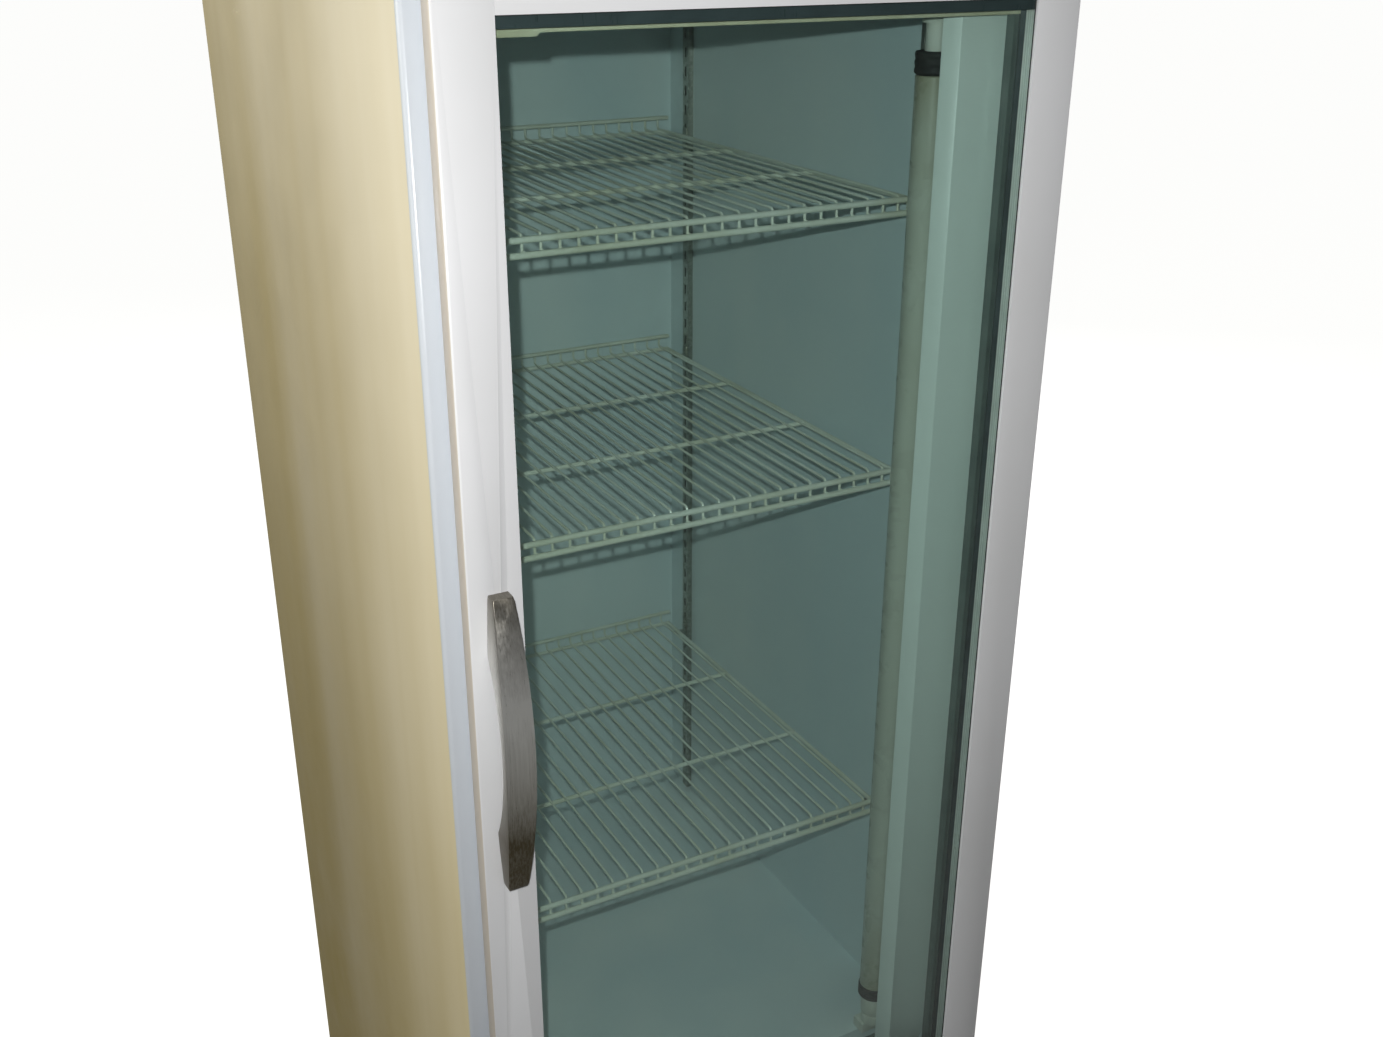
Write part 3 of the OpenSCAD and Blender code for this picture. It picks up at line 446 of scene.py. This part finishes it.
def door_look():
    """White door paint with painted shade on its outer sides and a painted shadow line along their
    back edge, and the dark channel on the lip behind the glass.
    """
    light, dark = srgb(233, 234, 237), srgb(221, 222, 223)
    look = painted("door_white_paint", light, dark, rough=(0.5, 0.62), peel=0.1)
    low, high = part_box("door_frame")
    split = look.node("ShaderNodeSeparateXYZ", {"Vector": look.place})
    middle = (low.z + high.z) / 2
    across = look.node("ShaderNodeMath", {0: split.outputs["X"]}, operation="ABSOLUTE").outputs[0]
    height = look.maths("SUBTRACT", split.outputs["Z"], middle)
    height = look.node("ShaderNodeMath", {0: height}, operation="ABSOLUTE").outputs[0]
    lip = 31.5 * MM
    behind = look.maths("GREATER_THAN", split.outputs["Y"], high.y - 3.4 * MM)
    beside = look.maths("LESS_THAN", across, high.x - lip)
    within = look.maths("LESS_THAN", height, (high.z - low.z) / 2 - lip)
    mask = look.maths("MULTIPLY", look.maths("MULTIPLY", behind, beside), within)
    paint = look.shader.inputs["Base Color"].links[0].from_socket
    grime = look.spread(look.noise(40, detail=5), 0.3, 0.7, 0, 1)
    # Painted shade: the outer side faces of the door get a darker beige.
    side = look.maths("GREATER_THAN", across, high.x - 0.9 * MM)
    rear = look.maths("GREATER_THAN", split.outputs["Y"], high.y - 2.4 * MM)
    paint = look.mix(side, paint, srgb(200, 192, 181))
    # Painted shadow: a dark grey line on the back 2.4 mm of the side faces stands in for the shade
    # in the gap to the flange.
    paint = look.mix(look.maths("MULTIPLY", side, rear), paint, srgb(104, 102, 104))
    look.colour(look.mix(mask, paint, look.mix(grime, srgb(78, 86, 90), srgb(58, 64, 66))))
    return look


def spacer_look():
    """Aluminium spacer bar: bright ribbed inner faces and a dark sealant edge to the front."""
    look = brushed_steel("spacer_aluminium", srgb(222, 228, 222), srgb(190, 198, 192), (1, 1, 0.1))
    metal = look.shader.inputs["Base Color"].links[0].from_socket
    normal = look.node("ShaderNodeNewGeometry").outputs["Normal"]
    face = look.node("ShaderNodeSeparateXYZ", {"Vector": normal})
    side = look.node("ShaderNodeMath", {0: face.outputs["X"]}, operation="ABSOLUTE").outputs[0]
    ribs = look.node("ShaderNodeTexWave", {"Vector": look.place, "Scale": 95}, bands_direction="Y")
    line = look.spread(ribs.outputs["Fac"], 0.1, 0.5, 0.72, 1)
    seal = look.mix(look.noise(30, detail=5), srgb(64, 78, 80), srgb(46, 56, 58))
    lit = look.maths("GREATER_THAN", side, 0.5)
    shade = look.node("ShaderNodeMix", {0: 1.0}, data_type="RGBA", blend_type="MULTIPLY")
    look.put(shade.inputs[6], metal)
    look.put(shade.inputs[7], line)
    look.colour(look.mix(lit, seal, shade.outputs[2]))
    look.put(look.shader.inputs["Metallic"], look.maths("MULTIPLY", lit, 0.35))
    return look


def handle_look():
    """Drawn steel with a strong lengthwise grain, and a painted reflection: bright about its middle
    and dark brown towards its feet.
    """
    low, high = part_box("door_handle")
    look = Look("handle_steel", Metallic=0.85, Anisotropic=0.5)
    grain = look.noise(620, detail=4, stretch=(1, 1, 0.008), roughness=0.75)
    worn = look.noise(16, detail=4, stretch=(1, 1, 0.4))
    middle = (low.z + high.z) / 2
    # Painted reflection: bright about the middle of the bar and dark brown towards both feet,
    # standing in for the light the metal reflects.
    under = look.along("Z", low.z + 0.06, middle + 0.05)
    over = look.along("Z", high.z + 0.06, middle + 0.06)
    painted_reflection = look.maths("MULTIPLY", under, look.spread(over, 0.3, 1, 0.02, 1))
    tone = look.maths("ADD", look.maths("MULTIPLY", painted_reflection, 0.75), look.maths("MULTIPLY", grain, 0.4))
    tone = look.maths("ADD", tone, look.maths("MULTIPLY", worn, 0.15))
    look.colour(look.mix(look.spread(tone, 0.25, 1, 0, 1), srgb(88, 80, 60), srgb(243, 243, 239)))
    look.rough(grain, 0.26, 0.42)
    look.bumps((grain, 0.3, 0.0003))
    return look


def glass_look():
    """Faintly green pane: clear straight on and mirror-like at a slant, with wiped film."""
    look = Look("door_glass")
    tree = look.tree
    tree.nodes.remove(look.shader)
    slant = look.node("ShaderNodeLayerWeight", {"Blend": 0.5}).outputs["Facing"]
    shine = look.spread(look.maths("POWER", slant, 5), 0, 1, 0.035, 0.9)
    film = look.noise(7, detail=6, stretch=(1, 1, 0.6), roughness=0.65)
    clear = look.node("ShaderNodeBsdfTransparent")
    look.put(clear.inputs["Color"], look.mix(film, GLASS_TINT, GLASS_FILM))
    mirror = look.node("ShaderNodeBsdfGlossy", {"Color": (1, 1, 1, 1)})
    look.put(mirror.inputs["Roughness"], look.spread(film, 0.4, 0.7, 0.01, 0.06))
    mixed = look.node("ShaderNodeMixShader", {"Fac": shine})
    look.put(mixed.inputs[1], clear.outputs[0])
    look.put(mixed.inputs[2], mirror.outputs[0])
    look.put(tree.nodes["Material Output"].inputs["Surface"], mixed.outputs[0])
    return look


GLASS_TINT = (0.912, 0.95, 0.942, 1)
GLASS_FILM = (0.9, 0.939, 0.931, 1)

LOOKS = {
    "cream": cabinet_cream(),
    "galvanised": sheet_steel("galvanised_sheet", srgb(196, 200, 203), srgb(140, 146, 150)),
    "foam": foam_look(),
    "liner": liner_look(),
    "flange": painted("flange_white_paint", srgb(203, 209, 216), srgb(198, 205, 213)),
    "breaker": moulded("breaker_strip_plastic", srgb(112, 120, 116), srgb(88, 96, 93)),
    "grille": painted("grille_grey_paint", srgb(96, 97, 97), srgb(72, 73, 74), rough=(0.4, 0.6)),
    "header": painted("header_white_paint", srgb(232, 232, 229), srgb(219, 219, 214)),
    "sign": sign_look(),
    "lamp": lamp_look(),
    "white_plastic": moulded("white_moulded_plastic", srgb(228, 228, 219), srgb(206, 205, 192)),
    "shield": painted("lamp_shield_paint", srgb(236, 240, 236), srgb(222, 229, 224), streak=0.5),
    "black_rubber": rubber("black_rubber", srgb(62, 60, 57), srgb(22, 22, 23)),
    "zinc": sheet_steel("zinc_plated_steel", srgb(190, 190, 182), srgb(134, 134, 126), grain=240),
    "fins": brushed_steel("fin_aluminium", srgb(206, 209, 211), srgb(168, 172, 175), (0.1, 1, 1)),
    "motor": worn_metal("motor_paint", srgb(74, 77, 80), srgb(46, 48, 51), metallic=0.3),
    "shell": worn_metal(
        "black_shell_paint", srgb(40, 40, 41), srgb(22, 22, 23), (0.3, 0.5), metallic=0
    ),
    "copper": worn_metal("copper_tube", srgb(214, 142, 104), srgb(146, 86, 58), (0.22, 0.42)),
    "pan": moulded("pan_plastic", srgb(70, 72, 74), srgb(48, 50, 52)),
    "control": moulded("control_plastic", srgb(48, 48, 49), srgb(30, 30, 31)),
    "rocker": moulded("rocker_plastic", srgb(172, 38, 32), srgb(134, 26, 22), (0.25, 0.4)),
    "hinge": sheet_steel("hinge_steel", srgb(202, 203, 204), srgb(150, 152, 155), grain=320),
    "screw": worn_metal("screw_steel", srgb(196, 196, 192), srgb(138, 137, 132), (0.25, 0.45)),
    "wire": wire_look(),
    "leg": worn_metal("leg_steel", srgb(188, 188, 186), srgb(126, 125, 122), (0.28, 0.5)),
    "door": door_look(),
    "glass": glass_look(),
    "spacer": spacer_look(),
    "gasket": rubber("gasket_rubber", srgb(118, 120, 120), srgb(84, 86, 87)),
    "bead": rubber("glazing_rubber", srgb(58, 64, 62), srgb(34, 38, 37)),
    "handle": handle_look(),
    "trim": moulded("cream_trim", srgb(232, 226, 200), srgb(214, 206, 174), (0.3, 0.45)),
}

CAD_LOOKS = {
    "cream": ["side_panel_left", "side_panel_right"],
    "galvanised": ["back_panel", "top_panel", "base_chassis", "rear_cover", "evaporator_housing"],
    "foam": ["foam_insulation"],
    "liner": ["liner_left", "liner_right", "liner_back", "liner_ceiling", "liner_floor"],
    "flange": ["face_frame"],
    "breaker": ["breaker_strips"],
    "grille": ["front_grille"],
    "header": ["header_housing"],
    "sign": ["header_sign_panel"],
    "lamp": ["header_lamp"],
    "white_plastic": ["lamp_holders", "thermostat_knob"],
    "shield": ["lamp_shield"],
    "zinc": ["pilasters", "shelf_clips", "lamp_ballast"],
    "fins": ["evaporator_coil", "evaporator_fan", "condenser_fan"],
    "motor": ["evaporator_fan_motor", "condenser_fan_motor"],
    "shell": ["compressor", "condenser_coil"],
    "copper": ["filter_drier", "refrigerant_lines"],
    "pan": ["condensate_pan"],
    "control": ["thermostat", "light_switch", "power_inlet", "hinge_bushes"],
    "rocker": ["light_rocker"],
    "hinge": ["hinge_bracket_top", "hinge_bracket_bottom", "door_closer"],
    "screw": ["handle_screws"],
    "door": ["door_frame"],
    "glass": ["glass_panes"],
    "spacer": ["glass_spacer"],
    "trim": ["door_top_trim"],
}

# Width of the softened edge on each CAD node that shows, in millimetres
EDGES = {
    "side_panel_left": 0.4,
    "side_panel_right": 0.4,
    "header_housing": 0.9,
    "header_sign_panel": 0.6,
    "face_frame": 0.5,
    "door_frame": 0.6,
    "door_top_trim": 0.5,
    "lamp_shield": 0.35,
    "lamp_holders": 1,
    "hinge_bracket_top": 0.6,
    "hinge_bracket_bottom": 0.6,
    "evaporator_housing": 0.5,
    "thermostat_knob": 0.6,
    "light_rocker": 0.3,
    "thermostat": 0.8,
    "light_switch": 0.4,
    "power_inlet": 0.4,
    "condensate_pan": 0.8,
    "lamp_ballast": 1.2,
    "pilasters": 0.25,
    "shelf_clips": 0.3,
    "top_panel": 0.3,
    "filter_drier": 0.4,
}


def soften(node, width):
    """Merges the CAD node's split corners and rounds its sharp edges."""
    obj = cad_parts[node]
    for polygon in obj.data.polygons:
        polygon.use_smooth = True
    weld = obj.modifiers.new("weld", "WELD")
    weld.merge_threshold = 0.00002
    bevel = obj.modifiers.new("edges", "BEVEL")
    bevel.width = width * MM
    bevel.segments = 2
    bevel.limit_method = "ANGLE"
    bevel.angle_limit = math.radians(38)
    bevel.harden_normals = True
    bevel.use_clamp_overlap = True


def dress_cad():
    for key, nodes in CAD_LOOKS.items():
        for node in nodes:
            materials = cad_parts[node].data.materials
            materials.clear()
            materials.append(LOOKS[key].material)
    for node, width in EDGES.items():
        soften(node, width)


# ---------- mesh tools ----------


class Shape:
    """Vertices and faces of one mesh, gathered from simple closed solids."""

    def __init__(self):
        self.points = []
        self.faces = []

    def skin(self, rings, closed=False):
        """Joins equal rings of points; open ends get a flat cap."""
        first = len(self.points)
        size = len(rings[0])
        count = len(rings)
        for ring in rings:
            self.points.extend(Vector(p) for p in ring)
        for i in range(count if closed else count - 1):
            a, b = first + i * size, first + (i + 1) % count * size
            for k in range(size):
                n = (k + 1) % size
                self.faces.append((a + k, a + n, b + n, b + k))
        if not closed:
            self.faces.append(tuple(range(first + size - 1, first - 1, -1)))
            last = first + (count - 1) * size
            self.faces.append(tuple(range(last, last + size)))

    def tube(self, path, radius, sides=8, round_ends=True):
        """A round wire along a path, with its ends drawn in a little."""
        path = [Vector(p) for p in path]
        rings = []
        across = None
        for i, point in enumerate(path):
            ahead = (path[min(i + 1, len(path) - 1)] - path[max(i - 1, 0)]).normalized()
            if across is None:
                across = ahead.orthogonal().normalized()
            across = (across - ahead * across.dot(ahead)).normalized()
            other = ahead.cross(across)
            spin = [2 * math.pi * k / sides for k in range(sides)]
            ring = [across * math.cos(a) + other * math.sin(a) for a in spin]
            if round_ends and i == 0:
                rings.append([point + d * radius * 0.6 for d in ring])
                point = point + ahead * radius * 0.4
            if round_ends and i == len(path) - 1:
                rings.append([point - ahead * radius * 0.4 + d * radius for d in ring])
                rings.append([point + d * radius * 0.6 for d in ring])
            else:
                rings.append([point + d * radius for d in ring])
        self.skin(rings)

    def lathe(self, profile, centre, axis=(0, 0, 1), sides=40):
        """Turns (radius, height) points about an axis through the centre."""
        up = Vector(axis)
        across = up.orthogonal().normalized()
        other = up.cross(across)
        rings = []
        for radius, height in profile:
            spin = [2 * math.pi * k / sides for k in range(sides)]
            middle = Vector(centre) + up * height
            rings.append(
                [middle + (across * math.cos(a) + other * math.sin(a)) * radius for a in spin]
            )
        self.skin(rings)

    def blob(self, centre, size, sides=6):
        """A small weld bead, stretched to size along X, Y and Z."""
        centre, size = Vector(centre), Vector(size)
        rings = []
        for tilt in (-80, -38, 0, 38, 80):
            r, h = math.cos(math.radians(tilt)), math.sin(math.radians(tilt))
            spin = [2 * math.pi * k / sides for k in range(sides)]
            ring = [(r * math.cos(a), r * math.sin(a), h) for a in spin]
            rings.append([centre + Vector(p) * size for p in ring])
        self.skin(rings)

    def ring_frame(self, low, high, profile):
        """Sweeps (inwards, backwards) points round an upright rectangle."""
        corners = [(low.x, low.z, 1, 1), (high.x, low.z, -1, 1)]
        corners += [(high.x, high.z, -1, -1), (low.x, high.z, 1, -1)]
        rings = []
        for x, z, sx, sz in corners:
            rings.append([(x + sx * u, low.y + v, z + sz * u) for u, v in profile])
        self.skin(rings, closed=True)

    def make(self, name, body, look, sharp=35):
        """The finished piece, riding on its body."""
        mesh = bpy.data.meshes.new(name)
        mesh.from_pydata([tuple(p) for p in self.points], [], self.faces)
        mesh.validate()
        mesh.shade_smooth()
        mesh.set_sharp_from_angle(angle=math.radians(sharp))
        mesh.materials.append(LOOKS[look].material)
        obj = bpy.data.objects.new(name, mesh)
        scene.collection.objects.link(obj)
        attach(obj, body)
        return obj


def filleted(points, radius, steps=4):
    """A path through the points with its corners rounded."""
    points = [Vector(p) for p in points]
    path = [points[0]]
    for before, corner, after in zip(points, points[1:], points[2:]):
        back, ahead = (before - corner).normalized(), (after - corner).normalized()
        half = back.angle(ahead) / 2
        reach = radius / math.tan(half)
        start, end = corner + back * reach, corner + ahead * reach
        middle = corner + (back + ahead).normalized() * radius / math.sin(half)
        for i in range(steps + 1):
            turn = (start - middle).slerp(end - middle, i / steps)
            path.append(middle + turn.normalized() * radius)
    path.append(points[-1])
    return path


def clusters(node, gap):
    """The boxes of a CAD node's separate solids, found as groups of nearby corners."""
    groups = []
    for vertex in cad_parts[node].data.vertices:
        point = vertex.co
        for low, high in groups:
            if all(low[k] - gap < point[k] < high[k] + gap for k in range(3)):
                low[:] = map(min, low, point)
                high[:] = map(max, high, point)
                break
        else:
            groups.append((list(point), list(point)))
    return [(Vector(low), Vector(high)) for low, high in groups]


# ---------- shelves ----------

WIRE_R = 1.6 * MM
BAR_R = 2.9 * MM
WIRE_PITCH = 20 * MM
WIRES = 25
LIP_DROP = 15 * MM
STOP_RISE = 16.77 * MM
BAR_INSET = 2.27 * MM
FRONT_R = 3.4 * MM


def make_shelf(node):
    """Welded shelf: wires bent over the front lip and up to the rear stop bar."""
    low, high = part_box(node)
    top = high.z - STOP_RISE
    front, back = low.y + BAR_INSET, high.y - WIRE_R
    bar_z = top - 2 * WIRE_R - BAR_R + 0.3 * MM
    lip_z = bar_z - LIP_DROP
    wire_y = front + FRONT_R + WIRE_R - 0.4 * MM
    span = back - BAR_R - front
    shape = Shape()
    chance = random.Random(node)
    bars = [(front, bar_z, FRONT_R), (front, lip_z, FRONT_R), (front + span / 3, bar_z, BAR_R)]
    bars += [(front + span * 2 / 3, bar_z, BAR_R), (back - BAR_R - 1 * MM, bar_z, BAR_R)]
    bars += [(back - WIRE_R - BAR_R + 0.4 * MM, high.z - BAR_R, BAR_R)]
    for i in range(WIRES):
        x = (i - (WIRES - 1) / 2) * WIRE_PITCH + chance.uniform(-0.3, 0.3) * MM
        lean = chance.uniform(-0.25, 0.25) * MM
        corners = [
            (x, wire_y, lip_z - chance.uniform(0.4, 1.2) * MM),
            (x, wire_y, top - WIRE_R),
            (x + lean, back, top - WIRE_R),
            (x + lean, back, high.z - 1 * MM),
        ]
        shape.tube(filleted(corners, 3.5 * MM, 3), WIRE_R)
        for k, (y, z, radius) in enumerate(bars):
            bead = Vector((chance.uniform(1.9, 2.6), 1.7, 1.1)) * MM
            upright = k in (0, 1, 5)
            if k == 0:
                place = (x, y + radius * 0.8, z)
            elif k == 1:
                place = (x, y + radius * 0.45, z + radius * 0.75)
            elif k == 5:
                place = (x, y + radius * 0.9, z)
            else:
                place = (x, y, z + radius * 0.95)
            shape.blob(place, bead.xzy if upright else bead)
    for y, z, radius in bars:
        shape.tube([(low.x, y, z), (0, y, z), (high.x, y, z)], radius, 12)
    for side in (low.x + BAR_R, high.x - BAR_R):
        y1 = back - BAR_R
        shape.tube([(side, front - 1 * MM, bar_z), (side, y1, bar_z)], BAR_R, 12)
        shape.tube([(side, front, lip_z), (side, front, bar_z)], BAR_R * 0.9, 10)
    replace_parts(shape.make(node + "_wirework", node, "wire"), node)


# ---------- lamp ----------


def make_lamp():
    low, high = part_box("lamp_tube")
    x, y = (low.x + high.x) / 2, (low.y + high.y) / 2
    radius = (high.x - low.x) / 2
    height = high.z - low.z
    wall = 1.2 * MM
    shape = Shape()
    shape.lathe(
        [
            (radius - 3 * wall, 0),
            (radius - wall, 0),
            (radius, wall),
            (radius, height - wall),
            (radius - wall, height),
            (radius - 3 * wall, height),
        ],
        (x, y, low.z),
        sides=56,
    )
    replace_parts(shape.make("lamp_sleeve", "cabinet", "lamp"), "lamp_tube")

    caps_low, caps_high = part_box("lamp_end_caps")
    outer = (caps_high.x - caps_low.x) / 2
    bands = Shape()
    for start, end in ((low.z - 17 * MM, low.z), (high.z, caps_high.z)):
        count = 3
        pitch = (end - start) / count
        profile = [(outer - 3 * MM, 0)]
        for i in range(count):
            at = i * pitch
            profile += [(outer - 0.6 * MM, at + 0.2 * pitch), (outer, at + 0.4 * pitch)]
            profile += [(outer, at + 0.7 * pitch), (outer - 0.9 * MM, at + 0.95 * pitch)]
        profile.append((outer - 3 * MM, end - start))
        bands.lathe(profile, (x, y, start), sides=48)
    piece = bands.make("lamp_end_sleeves", "cabinet", "black_rubber")
    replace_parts(piece, "lamp_end_caps")

    neck = Shape()
    neck_r = 16 * MM
    top = low.z - 17 * MM - caps_low.z
    profile = [(neck_r * 0.7, 0), (neck_r * 0.94, 1.5 * MM), (neck_r, 5 * MM)]
    profile += [(neck_r, top - 4 * MM), (neck_r * 0.9, top)]
    neck.lathe(profile, (x, y, caps_low.z), sides=40)
    piece = neck.make("lamp_lower_neck", "cabinet", "white_plastic")
    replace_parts(piece, "lamp_end_caps")


# ---------- door pieces ----------


def make_gasket():
    """Magnetic gasket: a foot in the door and a folded bellows towards the cabinet."""
    low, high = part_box("door_gasket")
    depth = high.y - low.y
    width = 18 * MM
    profile = [
        (0, 0),
        (0, 1.6 * MM),
        (3.4 * MM, 2.2 * MM),
        (2.6 * MM, 3.2 * MM),
        (4.2 * MM, 4.2 * MM),
        (3.2 * MM, depth - 0.7 * MM),
        (4 * MM, depth),
        (width - 4 * MM, depth),
        (width - 3.2 * MM, depth - 0.7 * MM),
        (width - 4.2 * MM, 4.2 * MM),
        (width - 2.6 * MM, 3.2 * MM),
        (width - 3.4 * MM, 2.2 * MM),
        (width, 1.6 * MM),
        (width, 0),
    ]
    shape = Shape()
    shape.ring_frame(low, high, profile)
    piece = shape.make("door_gasket_bellows", "door", "gasket")
    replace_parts(piece, "door_gasket")


def make_glazing_bead():
    """The thin rubber line between the glass and the frame, inside and out."""
    panes_low, panes_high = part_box("glass_panes")
    bite = 17 * MM
    wide = 1 * MM
    proud = 0.9 * MM
    for name, face, out in (("outer", panes_low.y, -1), ("inner", panes_high.y, 1)):
        low = Vector((panes_low.x + bite, face, panes_low.z + bite))
        high = Vector((panes_high.x - bite, face, panes_high.z - bite))
        v = out * proud
        profile = [(0, 0), (0, v), (0.5 * wide, v * 0.85), (wide, v * 0.2), (wide, 0)]
        if out < 0:
            profile.reverse()
        shape = Shape()
        shape.ring_frame(low, high, profile)
        shape.make("glazing_bead_" + name, "door", "bead")


def make_handle():
    """Arched bar that is slim at its feet and broad at its middle."""
    low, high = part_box("door_handle")
    middle = (low + high) / 2
    half = (high.z - low.z) / 2
    out = high.y - low.y
    foot, foot_out, bar = 62 * MM, 14 * MM, 9 * MM
    end_w, mid_w = 21 * MM, high.x - low.x
    corner = 1 * MM

    def rise(z, reach, height):
        """Height at z of an arc with this half chord and rise."""
        radius = (reach * reach + height * height) / (2 * height)
        return math.sqrt(max(radius * radius - z * z, 0)) - (radius - height)

    inner_half = half - foot
    steps = 96
    rings = []
    for i in range(steps + 1):
        z = -half + 2 * half * i / steps
        outer = foot_out + rise(z, half, out - foot_out)
        inner = max(rise(z, inner_half, out - bar), 0) if abs(z) < inner_half else 0
        width = end_w + rise(z, half, (mid_w - end_w) / 2) * 2
        trim = min(1, (half - abs(z)) / (1.5 * MM))
        shrink = (1 - trim) * 0.6 * MM
        outer, width = outer - shrink, width - 2 * shrink
        ring = []
        for cx, cy, start in ((1, 0, -90), (1, 1, 0), (-1, 1, 90), (-1, 0, 180)):
            r = min(corner, (outer - inner) * 0.3)
            for k in range(5):
                a = math.radians(start + 90 * k / 4)
                x = cx * (width / 2 - r) + r * math.cos(a)
                y = (outer - r if cy else inner + r) + r * math.sin(a)
                ring.append((middle.x + x, high.y - y, middle.z + z))
        rings.append(ring)
    shape = Shape()
    shape.skin(rings)
    piece = shape.make("handle_bar", "door", "handle", sharp=50)
    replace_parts(piece, "door_handle")


# ---------- legs and screws ----------


def make_leg(node):
    """Levelling foot with a swivel pad, a hexagon and a threaded stud."""
    low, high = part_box(node)
    x, y = (low.x + high.x) / 2, (low.y + high.y) / 2
    pad = (high.x - low.x) / 2
    stud = 6 * MM
    shape = Shape()
    shape.lathe(
        [
            (pad - 1.5 * MM, 0),
            (pad, 1 * MM),
            (pad, 4 * MM),
            (pad - 1 * MM, 5.4 * MM),
            (pad - 6 * MM, 6 * MM),
            (9 * MM, 7.5 * MM),
            (8.6 * MM, 11 * MM),
        ],
        (x, y, low.z),
        sides=48,
    )
    nut = [(9.2 * MM, 11 * MM), (10.5 * MM, 12 * MM), (10.5 * MM, 18 * MM), (9.2 * MM, 19 * MM)]
    shape.lathe(nut, (x, y, low.z), sides=6)
    pitch = 1.75 * MM
    start = 19 * MM
    turns = int((high.z - low.z - start) / pitch)
    profile = [(stud - 0.9 * MM, start)]
    for i in range(turns):
        base = start + i * pitch
        profile += [(stud - 0.9 * MM, base + 0.2 * pitch), (stud, base + 0.6 * pitch)]
    profile.append((stud - 1.2 * MM, high.z - low.z))
    shape.lathe(profile, (x, y, low.z), sides=24)
    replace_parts(shape.make(node + "_threaded", node, "leg", sharp=25), node)


def screw_head(shape, centre, out):
    """A domed head whose cross recess is cut as real geometry."""
    radius, height, arm, wide, deep = (v * MM for v in (4.4, 2.2, 2.1, 0.45, 1.2))
    sides = 24
    spin = [2 * math.pi * k / sides for k in range(sides)]

    def at(x, z, h):
        return Vector((centre[0] + x, centre[1] + out * h, centre[2] + z))

    first = len(shape.points)
    for r, h in ((radius, 0), (radius * 0.97, height * 0.45), (radius * 0.8, height * 0.85)):
        shape.points.extend(at(r * math.cos(a), r * math.sin(a), h) for a in spin)
    for ring in range(2):
        for k in range(sides):
            n = (k + 1) % sides
            a, b = first + ring * sides, first + (ring + 1) * sides
            shape.faces.append((a + k, b + k, b + n, a + n))
    cross = []
    for turn in range(4):
        c, s = math.cos(turn * math.pi / 2), math.sin(turn * math.pi / 2)
        for x, z in ((wide, wide), (arm, wide), (arm, -wide)):
            cross.append((x * c - z * s, x * s + z * c))
    cross.sort(key=lambda p: math.atan2(p[1], p[0]))
    rim = len(shape.points)
    shape.points.extend(at(x, z, height) for x, z in cross)
    floor = len(shape.points)
    shape.points.extend(at(x * 0.7, z * 0.7, height - deep) for x, z in cross)
    count = len(cross)
    for k in range(count):
        n = (k + 1) % count
        shape.faces.append((rim + k, floor + k, floor + n, rim + n))
    shape.faces.append(tuple(floor + k for k in range(count)))
    top = first + 2 * sides
    step = sides // count
    for k in range(count):
        n = (k + 1) % count
        fan = [top + (k * step + j) % sides for j in range(step + 1)]
        shape.faces.append((*fan, rim + n, rim + k))


def make_screws():
    shape = Shape()
    head = 2.2 * MM
    for low, high in clusters("cabinet_screws", 6 * MM):
        middle = (low + high) / 2
        out = -1 if middle.y < 0 else 1
        face = low.y + head if out < 0 else high.y - head
        screw_head(shape, (middle.x, face, middle.z), out)
    piece = shape.make("cross_head_screws", "cabinet", "screw")
    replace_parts(piece, "cabinet_screws")


# ---------- putting it together ----------

make_camera()
make_world()
make_floor()
make_lights()
dress_cad()
for shelf in ("shelf_upper", "shelf_middle", "shelf_lower"):
    make_shelf(shelf)
make_lamp()
make_gasket()
make_glazing_bead()
make_handle()
for leg in ("leg_front_left", "leg_front_right", "leg_rear_left", "leg_rear_right"):
    make_leg(leg)
make_screws()

scene.view_settings.view_transform = "Standard"
scene.cycles.transparent_max_bounces = 24

boxes = {"cad": cad_box, "visual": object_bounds()}
{name: [list(corner) for corner in box] for name, box in boxes.items()}
